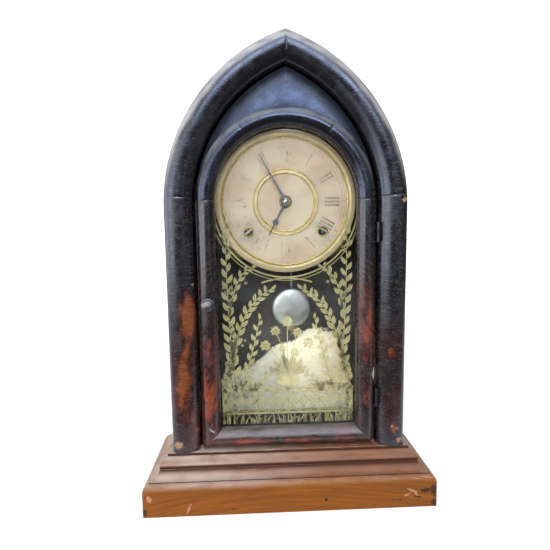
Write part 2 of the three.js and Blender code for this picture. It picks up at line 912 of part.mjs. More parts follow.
function dialCentreRing() {
  const inner = centreRingRadius - centreRingWidth;
  const seat = dialFront - seatGap;
  const curve = steps(quarterSteps).map((share) => [
    inner + centreRingWidth * share, seat - centreRingRise * Math.sin(share * Math.PI),
  ]);
  return turned([...curve, [inner, seat]], 0, dialHeight, ringSteps);
}

function addDial() {
  add('dial_plate', dialPlate(), dialPaint);
  add('dial_bezel', dialBezel(), brass);
  add('dial_centre_ring', dialCentreRing(), brass);
}

// Hands, each drawn upright and turned clockwise about the middle of the dial.
function turnClockwise(geometry, degrees) {
  geometry.translate(0, 0, -dialHeight);
  geometry.rotateY(THREE.MathUtils.degToRad(degrees));
  geometry.translate(0, 0, dialHeight);
  return geometry;
}

function handBlade(length, front) {
  const shape = polygon([
    [-handTailWidth / 2, dialHeight],
    [handTailWidth / 2, dialHeight],
    [handTipWidth / 2, dialHeight + length],
    [-handTipWidth / 2, dialHeight + length],
  ]);
  return panel(shape, front, front + handThickness);
}

function minuteHand() {
  const back = minuteHandFront + handThickness;
  const eye = rod(handEyeRadius, 0, dialHeight, minuteHandFront, back, roundSteps);
  const bore = rod(
    centreArborRadius + runningGap, 0, dialHeight, minuteHandFront - overrun, back + overrun);
  const blade = handBlade(dialRadius * minuteHandShare, minuteHandFront);
  return turnClockwise(cut(join(blade, eye), bore), minuteHandAngle);
}

function hourHand() {
  const front = dialFront - hourHandLift;
  const back = front + handThickness;
  const length = dialRadius * hourHandShare;
  const disc = rod(hourDiscRadius, 0, dialHeight + length * hourDiscShare, front, back, roundSteps);
  const eye = rod(handEyeRadius, 0, dialHeight, front, back, roundSteps);
  const blade = join(handBlade(length, front), disc, eye);
  const bore = rod(centreArborRadius + 2 * freeGap, 0, dialHeight, front - overrun, back + overrun);
  return turnClockwise(cut(blade, bore), hourHandAngle);
}

function handNut() {
  const dome = steps(quarterSteps).map((share) => {
    const angle = (share * Math.PI) / 2;
    return [handNutRadius * Math.sin(angle), handNutBack - handNutHeight * Math.cos(angle)];
  });
  return turned([...dome, [0, handNutBack]], 0, dialHeight, roundSteps);
}

// Where an arbor lies that stands at two given distances from two others, on the side
// that turning left from the first to the second gives.
function meet(first, firstDistance, second, secondDistance) {
  const dx = second[0] - first[0];
  const dz = second[1] - first[1];
  const span = Math.hypot(dx, dz);
  const along = (firstDistance ** 2 - secondDistance ** 2 + span ** 2) / (2 * span);
  const across = Math.sqrt(firstDistance ** 2 - along ** 2);
  return [
    first[0] + (along * dx - across * dz) / span,
    first[1] + (along * dz + across * dx) / span,
  ];
}

function around(centre, radius, angle) {
  return [centre[0] + radius * Math.cos(angle), centre[1] + radius * Math.sin(angle)];
}

function polar(centre, distance, degrees) {
  return around(centre, distance, THREE.MathUtils.degToRad(degrees));
}

function bearing(from, to) {
  return Math.atan2(to[1] - from[1], to[0] - from[0]);
}

function meshDistance(toothModule, teeth, leaves) {
  return (toothModule * (teeth + leaves)) / 2 + toothModule * spreadShare;
}

// A toothed outline with a tooth at the given angle, or with a gap there.
function toothed(centre, teeth, toothModule, toothAngle) {
  const tipRadius = toothModule * (teeth / 2 + tipShare);
  const rootRadius = toothModule * (teeth / 2 - rootShare);
  const outline = [];
  for (let k = 0; k < teeth; k += 1) {
    outline.push(around(centre, tipRadius, toothAngle + (2 * k * Math.PI) / teeth));
    outline.push(around(centre, rootRadius, toothAngle + ((2 * k + 1) * Math.PI) / teeth));
  }
  return polygon(outline);
}

function gapAt(angle, teeth) {
  return angle + Math.PI / teeth;
}

// The open sectors between the spokes of a wheel.
function crossings(shape, centre, inner, outer, spokes) {
  const sector = (2 * Math.PI) / spokes;
  for (let k = 0; k < spokes; k += 1) {
    const from = (k + spokeShare / 2) * sector;
    const to = (k + 1 - spokeShare / 2) * sector;
    const arc = (radius, share) => (
      new THREE.Vector2(...around(centre, radius, from + share * (to - from))));
    const rim = steps(spokeArcSteps).map((share) => arc(outer, share));
    const hub = steps(1).map((share) => arc(inner, 1 - share));
    shape.holes.push(new THREE.Path([...rim, ...hub]));
  }
  return shape;
}

// An arbor between the plates, with thinner pivots through them.
function arbor(centre, radius, front, back) {
  return turned([
    [0, front],
    [pivotRadius, front],
    [pivotRadius, pivotGap],
    [radius, pivotGap],
    [radius, backPlateFace - seatGap],
    [pivotRadius, backPlateFace - seatGap],
    [pivotRadius, back],
    [0, back],
  ], centre[0], centre[1], smallRoundSteps);
}

const pivotFront = frontPlateFace - seatGap;
const pivotGap = frontPlateBack + seatGap;
const pivotBack = backPlateBack + seatGap;

// The places of the arbors, from the tooth counts.
const centreArbor = [0, dialHeight];
const timeGreatArbor = [windingSide, windingHeight];
const strikeGreatArbor = [-windingSide, windingHeight];
const greatDistance = meshDistance(greatModule, greatTeeth, greatPinionLeaves);
const secondDistance = meshDistance(secondModule, secondTeeth, centrePinionLeaves);
const centreDistance = meshDistance(centreModule, centreTeeth, trainPinionLeaves);
const thirdDistance = meshDistance(thirdModule, thirdTeeth, trainPinionLeaves);
const secondArbor = meet(centreArbor, secondDistance, timeGreatArbor, greatDistance);
const palletAngle = (palletSpanTeeth * Math.PI) / escapeTeeth;
const palletDistance = escapeRadius / Math.cos(palletAngle);
const escapeArbor = [escapeOffset, pivotHeight - palletDistance];
const thirdArbor = meet(centreArbor, centreDistance, escapeArbor, thirdDistance);
const vergeArbor = [escapeOffset, pivotHeight];
const strikeSecondArbor = polar(strikeGreatArbor, greatDistance, strikeSecondBearing);
const strikePinDistance = meshDistance(strikeSecondModule, strikeSecondTeeth, centrePinionLeaves);
const strikePinArbor = polar(strikeSecondArbor, strikePinDistance, strikePinBearing);
const flyDistance = meshDistance(strikePinModule, strikePinTeeth, trainPinionLeaves);
const flyArbor = polar(strikePinArbor, flyDistance, flyBearing);
const hammerArbor = [hammerArborSide, hammerArborHeight];
const motionDistance = meshDistance(motionModule, cannonLeaves, minuteWheelTeeth);
const minuteWheelArbor = polar(centreArbor, motionDistance, minuteWheelBearing);

// The hour pair shares the centre distance of the minute pair.
const hourModule = motionDistance / meshDistance(1, hourWheelTeeth, minutePinionLeaves);

// Depths of the wheels
const escapePlane = frontPlateBack + plateSpacing * escapePlaceShare;
const greatPlane = frontPlateBack + plateSpacing * greatPlaceShare;
const thirdPlane = frontPlateBack + plateSpacing * thirdPlaceShare;
const pinPlane = frontPlateBack + plateSpacing * pinPlaceShare;
const centrePlane = frontPlateBack + plateSpacing * centrePlaceShare;
const strikeSecondPlane = frontPlateBack + plateSpacing * strikeSecondPlaceShare;
const timeSecondPlane = frontPlateBack + plateSpacing * timeSecondPlaceShare;
const countPlane = frontPlateBack + plateSpacing * countPlaceShare;
const springFront = frontPlateBack + plateSpacing * springPlaceShare;
const springBack = springFront + plateSpacing * mainspringWidthShare;
const flyFront = frontPlateBack + plateSpacing * flyPlaceShare;
const flyBack = flyFront + plateSpacing * flyVaneShare;
const hourWheelFront = dialBack + hourWheelSetBack;
const minuteWheelFront = dialBack + minuteWheelSetBack;
const gongPlane = backboardFace - gongStandOff;

function disc(shape, plane, thickness) {
  return panel(shape, plane, plane + thickness);
}

// A pinion that runs a little past both faces of the wheel in the given plane.
function pinion(centre, leaves, toothModule, towards, plane) {
  const shape = toothed(centre, leaves, toothModule, gapAt(bearing(centre, towards), leaves));
  return disc(shape, plane - pinionOverlap, pinionLength);
}

function wheel(centre, teeth, toothModule, towards, plane, spokes) {
  const shape = toothed(centre, teeth, toothModule, bearing(centre, towards));
  if (spokes > 0) {
    const outer = (toothModule * teeth) / 2 - rimWidthShare * toothModule;
    crossings(shape, centre, rimWidthShare * arborRadius, outer, spokes);
  }
  return disc(shape, plane, wheelThickness);
}

function addWinding(word, centre, next, pillar) {
  const bore = rod(
    windingArborRadius + freeGap, centre[0], centre[1],
    greatPlane - overrun, greatPlane + greatWheelThickness + overrun);
  const teeth = toothed(centre, greatTeeth, greatModule, bearing(centre, next));
  add(`great_wheel_${word}`, cut(disc(teeth, greatPlane, greatWheelThickness), bore), brass);
  add(`winding_arbor_${word}`, windingArbor(centre), steel);
  add(`mainspring_${word}`, mainspring(centre, pillar), steel);
}

// The squared end for the key, the arbor and the ratchet behind the great wheel.
function windingArbor(centre) {
  const squareBack = frontPlateFace - windingProjection / 2;
  const square = block(
    centre[0] - windingSquare / 2, centre[0] + windingSquare / 2,
    frontPlateFace - windingProjection, squareBack,
    centre[1] - windingSquare / 2, centre[1] + windingSquare / 2);
  const shaft = turned([
    [0, squareBack - overrun],
    [windingArborRadius, squareBack],
    [windingArborRadius, backPlateFace - seatGap],
    [pivotRadius, backPlateFace - seatGap],
    [pivotRadius, pivotBack],
    [0, pivotBack],
  ], centre[0], centre[1], smallRoundSteps);
  const ratchetModule = (2 * ratchetRadius) / ratchetTeeth;
  const ratchet = toothed(centre, ratchetTeeth, ratchetModule, 0);
  return join(shaft, square, disc(ratchet, greatPlane + greatWheelThickness + seatGap, wheelThickness));
}

// A flat spring from the arbor outwards, whose outer end runs out to a pillar.
function mainspring(centre, pillar) {
  const side = Math.sign(centre[0]);
  const total = springTurns * springStepsPerTurn;
  const inner = windingArborRadius + seatGap + mainspringThickness / 2;
  const reach = Math.hypot(pillar[0] - centre[0], pillar[1] - centre[1]);
  const tail = reach - pillarRadius - seatGap - mainspringThickness / 2 - mainspringRadius;
  const lastAngle = bearing([0, centre[1]], [side * (pillar[0] - centre[0]), pillar[1]]);
  const section = [
    [-mainspringThickness / 2, springFront],
    [mainspringThickness / 2, springFront],
    [mainspringThickness / 2, springBack],
    [-mainspringThickness / 2, springBack],
  ];
  const rings = steps(total).map((share) => {
    const angle = lastAngle - (1 - share) * springTurns * 2 * Math.PI;
    const runOut = Math.max(0, share - 1 + mainspringTailShare) / mainspringTailShare;
    const radius = inner + share * (mainspringRadius - inner) + runOut ** 2 * tail;
    return section.map(([offset, depth]) => new THREE.Vector3(
      centre[0] + side * (radius + offset) * Math.cos(angle), depth,
      centre[1] + (radius + offset) * Math.sin(angle)));
  });
  return loft(rings, flatten(section));
}

function secondWheel() {
  return join(
    arbor(secondArbor, arborRadius, pivotFront, pivotBack),
    pinion(secondArbor, greatPinionLeaves, greatModule, timeGreatArbor, greatPlane),
    wheel(secondArbor, secondTeeth, secondModule, centreArbor, timeSecondPlane, wheelSpokes));
}

// The centre arbor ends behind the friction sleeve that carries the minute hand.
function centreWheel() {
  const shaft = turned([
    [0, pivotGap],
    [centreArborRadius, pivotGap],
    [centreArborRadius, backPlateFace - seatGap],
    [pivotRadius, backPlateFace - seatGap],
    [pivotRadius, pivotBack],
    [0, pivotBack],
  ], centreArbor[0], centreArbor[1], smallRoundSteps);
  return join(
    shaft,
    pinion(centreArbor, centrePinionLeaves, secondModule, secondArbor, timeSecondPlane),
    wheel(centreArbor, centreTeeth, centreModule, thirdArbor, centrePlane, wheelSpokes));
}

function thirdWheel() {
  return join(
    arbor(thirdArbor, arborRadius, pivotFront, pivotBack),
    pinion(thirdArbor, trainPinionLeaves, centreModule, centreArbor, centrePlane),
    wheel(thirdArbor, thirdTeeth, thirdModule, escapeArbor, thirdPlane, wheelSpokes));
}

// Raked pointed teeth, placed so that both pallets stand between teeth.
function escapeWheel() {
  const pitch = (2 * Math.PI) / escapeTeeth;
  const first = Math.PI / 2 + palletAngle - pitch / 4;
  const rootRadius = escapeRadius - escapeToothDepth;
  const outline = [];
  for (let k = 0; k < escapeTeeth; k += 1) {
    const tip = first + k * pitch;
    const root = tip + pitch * escapeRootShare;
    outline.push(around(escapeArbor, escapeRadius, tip));
    outline.push(around(escapeArbor, rootRadius, root));
  }
  const rim = rootRadius - escapeToothDepth;
  const shape = crossings(polygon(outline), escapeArbor, rimWidthShare * arborRadius, rim, wheelSpokes - 1);
  return join(
    arbor(escapeArbor, arborRadius, pivotFront, pivotBack),
    pinion(escapeArbor, trainPinionLeaves, thirdModule, thirdArbor, thirdPlane),
    disc(shape, escapePlane, wheelThickness));
}

// The anchor is a bent strip over the escape wheel. Its crutch hangs in front of the
// plate and ends in a fork about the pendulum rod.
function verge() {
  const reach = palletDistance * Math.sin(palletAngle);
  const tipHeight = escapeArbor[1] + (escapeRadius + palletClearance) * Math.cos(palletAngle);
  const slope = tipHeight + palletSlopeShare * anchorWidth;
  const belly = vergeArbor[1] - anchorBellyShare * anchorWidth;
  const top = vergeArbor[1] + anchorBackShare * anchorWidth;
  const strap = polygon([
    [vergeArbor[0] - reach - anchorWidth / 2, tipHeight],
    [vergeArbor[0] - reach + anchorWidth / 2, slope],
    [vergeArbor[0] - reach + anchorWidth, belly],
    [vergeArbor[0] + reach - anchorWidth, belly],
    [vergeArbor[0] + reach - anchorWidth / 2, slope],
    [vergeArbor[0] + reach + anchorWidth / 2, tipHeight],
    [vergeArbor[0] + reach + anchorWidth / 2, vergeArbor[1]],
    [vergeArbor[0] + reach / 2, top],
    [vergeArbor[0] - reach / 2, top],
    [vergeArbor[0] - reach - anchorWidth / 2, vergeArbor[1]],
  ]);
  const armBack = frontPlateFace - freeGap;
  const armFront = armBack - crutchThickness;
  const forkHeight = vergeArbor[1] - crutchLength;
  const prong = (side) => {
    const inner = vergeArbor[0] + side * (rodRadius + freeGap);
    const outer = vergeArbor[0] + side * (crutchWidth / 2 + rodRadius);
    return block(
      Math.min(inner, outer), Math.max(inner, outer),
      rodPlane - rodRadius - freeGap, armFront + crutchThickness / 2,
      forkHeight, forkHeight + crutchWidth);
  };
  return join(
    panel(strap, escapePlane - overrun / 2, escapePlane + wheelThickness + overrun / 2),
    arbor(vergeArbor, arborRadius, armFront, pivotBack),
    block(
      vergeArbor[0] - crutchWidth / 2, vergeArbor[0] + crutchWidth / 2,
      armFront, armBack,
      forkHeight + crutchWidth / 2, vergeArbor[1] + crutchWidth / 2),
    block(
      vergeArbor[0] - crutchWidth / 2 - rodRadius, vergeArbor[0] + crutchWidth / 2 + rodRadius,
      armFront, armBack,
      forkHeight, forkHeight + crutchWidth),
    prong(-1),
    prong(1));
}

function pendulumRod() {
  const top = pivotHeight - seatGap;
  const springFoot = top - suspensionLength;
  return join(
    block(
      vergeArbor[0] - suspensionThickness / 2, vergeArbor[0] + suspensionThickness / 2,
      rodPlane - suspensionWidth / 2, rodPlane + suspensionWidth / 2 - freeGap,
      springFoot, top),
    uprightRod(rodRadius, vergeArbor[0], rodPlane, bobHeight - bobRadius - rodTail, springFoot + overrun));
}

function pendulumBob() {
  const half = bobThickness / 2;
  const rim = bobRimThickness / 2;
  const face = (sign) => steps(quarterSteps).map((share) => {
    const angle = (share * Math.PI) / 2;
    return [bobRadius * Math.sin(angle), rodPlane + sign * (rim + (half - rim) * Math.cos(angle))];
  });
  const body = turned([...face(-1), ...face(1).reverse()], vergeArbor[0], bobHeight, bobSteps);
  const bore = uprightRod(
    rodRadius + freeGap, vergeArbor[0], rodPlane,
    bobHeight - bobRadius - overrun, bobHeight + bobRadius + overrun);
  return cut(body, bore);
}

function ratingNut() {
  const top = bobHeight - bobRadius - seatGap;
  const nut = uprightRod(ratingNutRadius, vergeArbor[0], rodPlane, top - ratingNutHeight, top, roundSteps);
  const bore = uprightRod(
    rodRadius + runningGap, vergeArbor[0], rodPlane, top - ratingNutHeight - overrun, top + overrun);
  return cut(nut, bore);
}

// The sleeve of the minute hand, with the cannon pinion that drives the motion work.
function cannonSleeve() {
  return join(
    turned([
      [0, minuteHandFront],
      [centreArborRadius, minuteHandFront],
      [centreArborRadius, frontPlateFace - seatGap],
      [pivotRadius, frontPlateFace - seatGap],
      [pivotRadius, frontPlateBack],
      [0, frontPlateBack],
    ], centreArbor[0], centreArbor[1], smallRoundSteps),
    disc(
      toothed(centreArbor, cannonLeaves, motionModule,
        gapAt(bearing(centreArbor, minuteWheelArbor), cannonLeaves)),
      minuteWheelFront, wheelThickness));
}

function minuteWheel() {
  const toCentre = bearing(minuteWheelArbor, centreArbor);
  return join(
    rod(pivotRadius, minuteWheelArbor[0], minuteWheelArbor[1], hourWheelFront, frontPlateBack),
    disc(
      toothed(minuteWheelArbor, minuteWheelTeeth, motionModule, toCentre),
      minuteWheelFront, wheelThickness),
    panel(
      toothed(minuteWheelArbor, minutePinionLeaves, hourModule, gapAt(toCentre, minutePinionLeaves)),
      hourWheelFront, minuteWheelFront + overrun));
}

// The hour wheel turns on the sleeve of the minute hand, and its pipe carries the hour
// hand.
function hourWheel() {
  const back = hourWheelFront + wheelThickness;
  const pipeFront = dialFront - hourHandLift + handThickness + seatGap;
  const teeth = toothed(centreArbor, hourWheelTeeth, hourModule, bearing(centreArbor, minuteWheelArbor));
  const pipe = rod(centreArborRadius + 4 * freeGap, 0, dialHeight, pipeFront, back - seatGap);
  const bore = rod(centreArborRadius + freeGap, 0, dialHeight, pipeFront - overrun, back + overrun);
  return cut(join(disc(teeth, hourWheelFront, wheelThickness), pipe), bore);
}

// The count wheel has a slot before each hour, and between the slots a rim as long as
// the strokes of that hour.
function countWheel(centre) {
  const unit = (2 * Math.PI) / ((hoursOnDial * (hoursOnDial + 3)) / 2);
  const outline = [];
  let angle = 0;
  for (let hour = 1; hour <= hoursOnDial; hour += 1) {
    const rimSteps = Math.ceil(hour / 3);
    for (const share of steps(rimSteps)) {
      const along = angle + share * hour * unit;
      outline.push([countWheelRadius, along]);
    }
    angle += hour * unit;
    outline.push([countWheelRadius - countSlotDepth, angle]);
    angle += unit;
    outline.push([countWheelRadius - countSlotDepth, angle]);
  }
  return polygon(outline.map(([radius, along]) => around(centre, radius, along)));
}

function strikeSecondWheel() {
  return join(
    arbor(strikeSecondArbor, arborRadius, pivotFront, pivotBack),
    pinion(strikeSecondArbor, greatPinionLeaves, greatModule, strikeGreatArbor, greatPlane),
    wheel(
      strikeSecondArbor, strikeSecondTeeth, strikeSecondModule, strikePinArbor,
      strikeSecondPlane, wheelSpokes),
    disc(countWheel(strikeSecondArbor), countPlane, wheelThickness));
}

// The third wheel of the strike carries the pins that lift the hammer.
function strikePinWheel() {
  const pins = steps(liftingPins).slice(1).map((share) => {
    const place = polar(strikePinArbor, liftingPinOffset, share * 360 + firstPinBearing);
    const front = pinPlane + wheelThickness / 2;
    return rod(liftingPinRadius, place[0], place[1], front, front + liftingPinLength);
  });
  return join(
    arbor(strikePinArbor, arborRadius, pivotFront, pivotBack),
    pinion(strikePinArbor, centrePinionLeaves, strikeSecondModule, strikeSecondArbor, strikeSecondPlane),
    wheel(strikePinArbor, strikePinTeeth, strikePinModule, flyArbor, pinPlane, 0),
    ...pins);
}

function strikeFly() {
  return join(
    arbor(flyArbor, arborRadius, pivotFront, pivotBack),
    pinion(flyArbor, trainPinionLeaves, strikePinModule, strikePinArbor, pinPlane),
    block(
      flyArbor[0] - flyVaneLength, flyArbor[0] + flyVaneLength,
      flyFront, flyBack,
      flyArbor[1] - flyVaneThickness / 2, flyArbor[1] + flyVaneThickness / 2));
}

// The tail of the hammer ends a gap above the circle that the lifting pins turn on.
function hammerTailBottom() {
  const pinReach = liftingPinOffset + liftingPinRadius + freeGap;
  const tailSide = strikePinArbor[0] - hammerArborSide - arborRadius;
  return strikePinArbor[1] + Math.sqrt(pinReach ** 2 - tailSide ** 2);
}

// The hammer rests just clear of the outer turn of the gong.
function strikeHammer() {
  const armFront = pivotBack + freeGap;
  const armBack = armFront + hammerArmThickness;
  const headHeight = hammerArborHeight - hammerArmLength;
  const tailFront = pinPlane + wheelThickness + freeGap;
  const tail = block(
    hammerArborSide - arborRadius, hammerArborSide + arborRadius,
    tailFront, tailFront + hammerArmThickness,
    hammerTailBottom(), hammerArborHeight);
  const head = new THREE.CylinderGeometry(hammerHeadRadius, hammerHeadRadius, hammerHeadLength, roundSteps);
  head.rotateZ(Math.PI / 2);
  head.translate(
    -(gongRadius + gongWireRadius + hammerGap + hammerHeadLength / 2), gongPlane, headHeight);
  const arm = (back, top) => block(
    hammerArborSide - hammerArmWidth / 2, hammerArborSide + hammerArmWidth / 2,
    armFront, back,
    headHeight - hammerArmWidth / 2, top + hammerArmWidth / 2);
  return join(
    arbor(hammerArbor, arborRadius, pivotFront, armBack),
    tail,
    arm(armBack, hammerArborHeight),
    arm(gongPlane, headHeight),
    head);
}

// One wire wound from the block outwards, never closer to itself than a turn's pitch.
function gongCoil() {
  const section = steps(gongSides).slice(1).map((share) => {
    const angle = share * 2 * Math.PI;
    return [gongWireRadius * Math.cos(angle), gongWireRadius * Math.sin(angle)];
  });
  const rings = steps(gongTurns * gongStepsPerTurn).map((share) => {
    const angle = share * gongTurns * 2 * Math.PI;
    const radius = gongInnerRadius + share * (gongRadius - gongInnerRadius);
    return section.map(([out, depth]) => new THREE.Vector3(
      (radius + out) * Math.cos(angle), gongPlane + depth,
      gongCentreHeight + (radius + out) * Math.sin(angle)));
  });
  return loft(rings, flatten(section));
}

function gongBlock() {
  return rod(gongBlockRadius, 0, gongCentreHeight, gongPlane - gongWireRadius, backboardFace, roundSteps);
}

// Plates, with a pivot hole for each arbor that runs in them.
function plateShape() {
  return polygon([
    [-plateFootHalfWidth, plateBottom],
    [plateFootHalfWidth, plateBottom],
    [plateHalfWidth, plateBottom + plateFootRise],
    [plateHalfWidth, plateTop - plateHeadDrop],
    [plateHeadHalfWidth, plateTop],
    [-plateHeadHalfWidth, plateTop],
    [-plateHalfWidth, plateTop - plateHeadDrop],
    [-plateHalfWidth, plateBottom + plateFootRise],
  ]);
}

const pivotedArbors = [
  centreArbor, secondArbor, thirdArbor, escapeArbor, vergeArbor,
  strikeSecondArbor, strikePinArbor, flyArbor, hammerArbor,
];

const pillarPlaces = [
  [-pillarFootSpread, plateBottom + pillarInset],
  [pillarFootSpread, plateBottom + pillarInset],
  [-pillarSpread, plateTop - pillarInset],
  [pillarSpread, plateTop - pillarInset],
];

function plateHoles(places, radius, front, back) {
  return places.map(([x, z]) => rod(radius, x, z, front - overrun, back + overrun));
}

function frontPlate() {
  const plate = panel(plateShape(), frontPlateFace, frontPlateBack);
  const holes = [
    ...plateHoles(pivotedArbors, pivotRadius + runningGap, frontPlateFace, frontPlateBack),
    ...plateHoles([minuteWheelArbor], pivotRadius + runningGap, frontPlateFace, frontPlateBack),
    ...plateHoles(
      [timeGreatArbor, strikeGreatArbor], windingArborRadius + freeGap, frontPlateFace, frontPlateBack),
    ...plateHoles(pillarPlaces, pillarRadius / 2 + runningGap, frontPlateFace, frontPlateBack),
  ];
  const lipBottom = pivotHeight + freeGap;
  const postBottom = lipBottom + 2 * crutchWidth;
  const post = block(
    vergeArbor[0] - suspensionBlockWidth / 2, vergeArbor[0] + suspensionBlockWidth / 2,
    rodPlane - suspensionWidth / 2, frontPlateFace + plateThickness / 2,
    postBottom, postBottom + suspensionBlockHeight);
  const lip = block(
    vergeArbor[0] - suspensionBlockWidth / 2, vergeArbor[0] + suspensionBlockWidth / 2,
    rodPlane - suspensionWidth / 2, rodPlane + suspensionWidth / 2 - freeGap,
    lipBottom, postBottom + overrun);
  return cut(join(plate, post, lip), ...holes);
}

function backPlate() {
  const plate = panel(plateShape(), backPlateFace, backPlateBack);
  const pillars = pillarPlaces.flatMap(([x, z]) => [
    rod(pillarRadius, x, z, frontPlateBack + seatGap, backPlateFace + plateThickness / 2),
    rod(pillarRadius / 2, x, z, frontPlateFace, frontPlateBack + overrun),
  ]);
  const posts = [-1, 1].flatMap((side) => [
    rod(postRadius, side * postSpread, plateBottom + pillarInset,
      backPlateBack - plateThickness / 2, backboardFace - seatGap),
    rod(postRadius, side * postSpread, plateTop - pillarInset,
      backPlateBack - plateThickness / 2, backboardFace - seatGap),
  ]);
  const holes = plateHoles(
    [...pivotedArbors, timeGreatArbor, strikeGreatArbor],
    pivotRadius + runningGap, backPlateFace, backPlateBack);
  return cut(join(plate, ...pillars, ...posts), ...holes);
}

function addMovement() {
  add('movement_front_plate', frontPlate(), brass);
  add('movement_back_plate', backPlate(), brass);
  addWinding('time', timeGreatArbor, secondArbor, pillarPlaces[1]);
  addWinding('strike', strikeGreatArbor, strikeSecondArbor, pillarPlaces[0]);
  add('second_wheel_time', secondWheel(), brass);
  add('centre_wheel', centreWheel(), brass);
  add('third_wheel', thirdWheel(), brass);
  add('escape_wheel', escapeWheel(), brass);
  add('verge_and_crutch', verge(), steel);
  add('cannon_sleeve', cannonSleeve(), brass);
  add('minute_wheel', minuteWheel(), brass);
  add('hour_wheel', hourWheel(), brass);
  add('second_wheel_strike', strikeSecondWheel(), brass);
  add('pin_wheel_strike', strikePinWheel(), brass);
  add('strike_fly', strikeFly(), brass);
  add('strike_hammer', strikeHammer(), steel);
  add('gong_coil', gongCoil(), steel);
  add('gong_block', gongBlock(), blackIron);
}

function addPendulumAndHands() {
  add('pendulum_rod', pendulumRod(), steel);
  add('pendulum_bob', pendulumBob(), silvered);
  add('rating_nut', ratingNut(), brass);
  add('minute_hand', minuteHand(), blackIron);
  add('hour_hand', hourHand(), blackIron);
  add('hand_nut', handNut(), silvered);
}

addBase();
addCase();
addDoor();
addDial();
addMovement();
addPendulumAndHands();

export default clock;
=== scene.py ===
"""Looks of a pointed-arch mantel clock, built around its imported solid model.

Lengths in the classes are millimetres in the frame of the solid model, with X to the
right, Y to the back and Z up. They become metres when a mesh is made.
"""
import logging
import math
from dataclasses import dataclass
from enum import Enum
from typing import Any, Sequence

import bmesh
import bpy
import numpy as np
from mathutils import Matrix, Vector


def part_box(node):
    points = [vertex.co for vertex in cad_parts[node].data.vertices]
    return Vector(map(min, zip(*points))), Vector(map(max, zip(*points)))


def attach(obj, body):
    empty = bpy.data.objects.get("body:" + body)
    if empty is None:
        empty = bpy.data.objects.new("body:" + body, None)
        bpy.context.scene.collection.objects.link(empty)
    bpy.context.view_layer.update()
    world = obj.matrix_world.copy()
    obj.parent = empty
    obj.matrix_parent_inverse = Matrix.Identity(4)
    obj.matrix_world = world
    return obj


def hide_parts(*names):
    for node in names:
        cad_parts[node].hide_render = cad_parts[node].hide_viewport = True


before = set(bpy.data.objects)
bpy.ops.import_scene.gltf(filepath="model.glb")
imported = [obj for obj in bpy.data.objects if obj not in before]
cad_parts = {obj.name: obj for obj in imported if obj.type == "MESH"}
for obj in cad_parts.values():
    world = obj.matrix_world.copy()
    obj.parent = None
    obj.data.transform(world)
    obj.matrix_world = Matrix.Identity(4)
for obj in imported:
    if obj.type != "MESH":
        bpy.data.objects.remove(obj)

LOG = logging.getLogger("clock")
MM = 0.001
WELD = 2e-6
SHARP_ANGLE = math.radians(38)
ROUND_ANGLE = math.radians(50)
MARKS = ("rub", "bare")
WINDING = (40.0, 289.9)
SMOOTH = {"interpolation_type": "SMOOTHSTEP"}
QUARTER_TURN = math.pi / 2
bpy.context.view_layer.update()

Array = np.ndarray
Socket = bpy.types.NodeSocket
Inputs = dict[int | str, Any] | Sequence[Any]
Rows = tuple[Array, Array]


class Side(Enum):
    """The two hands of the case, as the sign of X."""

    LEFT = -1
    RIGHT = 1

    @property
    def word(self) -> str:
        """The word that the node names end in."""
        return self.name.lower()


def joined(*parts: Array | float) -> Array:
    """Points from their coordinates, which are broadcast against each other."""
    return np.stack(np.broadcast_arrays(*parts), axis=-1).astype(float)


@dataclass(frozen=True)
class ArchPath:
    """The path of the case: upright, then an arc about a centre beyond the other side."""

    spring: float = 314.5
    offset: float = 58.0
    bottom: float = 56.8
    gap: float = 0.1

    def arc(self, side: Side, distance: Array, depth: Array, angle: Array) -> Array:
        """Points of the arc: x = side (R cos a - offset), z = spring + R sin a.

        Args:
            side: which half.
            distance: how far out each point lies.
            depth: its depth.
            angle: its angle above the spring.

        Returns:
            An array of points.
        """
        radius = distance + self.offset
        x = side.value * (radius * np.cos(angle) - self.offset)
        return joined(x, depth, self.spring + radius * np.sin(angle))

    def apex(self, distance: Array) -> Array:
        """The angle at which the arc meets the middle plane."""
        return np.arccos((self.offset + self.gap) / (distance + self.offset))


ARCH = ArchPath()


def corners(node: str) -> tuple[Array, Array]:
    """The lowest and the highest corner of a solid node in millimetres."""
    low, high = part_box(node)
    return np.array(low) / MM, np.array(high) / MM


def colour(text: str) -> tuple[float, float, float, float]:
    """Turns an sRGB hex value into linear red, green and blue, with an alpha of 1.

    Args:
        text: a value such as "#8d4f26".

    Returns:
        The colour that a socket takes.
    """
    parts = [int(text[k : k + 2], 16) / 255 for k in (1, 3, 5)]
    linear = [p / 12.92 if p <= 0.04045 else ((p + 0.055) / 1.055) ** 2.4 for p in parts]
    return (linear[0], linear[1], linear[2], 1.0)


# Surfaces: each piece is a set of grids of points, closed at their ends and welded.


def grid_faces(rows: int, columns: int) -> Array:
    """Quads between neighbouring points of a grid, as rows of four indices.

    Args:
        rows: points along axis 0.
        columns: points along axis 1.

    Returns:
        Faces x 4.
    """
    index = np.arange(rows * columns).reshape(rows, columns)
    quads = np.stack([index[:-1, :-1], index[:-1, 1:], index[1:, 1:], index[1:, :-1]], axis=-1)
    return quads.reshape(-1, 4)


def lengths_along(points: Array, axis: int) -> Array:
    """Distance of each point from the start of a grid axis, measured along it.

    Args:
        points: an array whose last axis is X, Y and Z.
        axis: the axis to measure along.

    Returns:
        An array of distances with the last axis dropped.
    """
    step = np.linalg.norm(np.diff(points, axis=axis), axis=-1)
    start = np.zeros_like(np.take(step, [0], axis=axis))
    return np.cumsum(np.concatenate([start, step], axis=axis), axis=axis)


def closed_loop(section: Array) -> Array:
    """A section whose first point is repeated at its end."""
    return np.concatenate([section, section[:1]])


def closed_tube(grid: Array) -> Array:
    """A grid whose first column is repeated as its last."""
    return np.concatenate([grid, grid[:, :1]], axis=1)


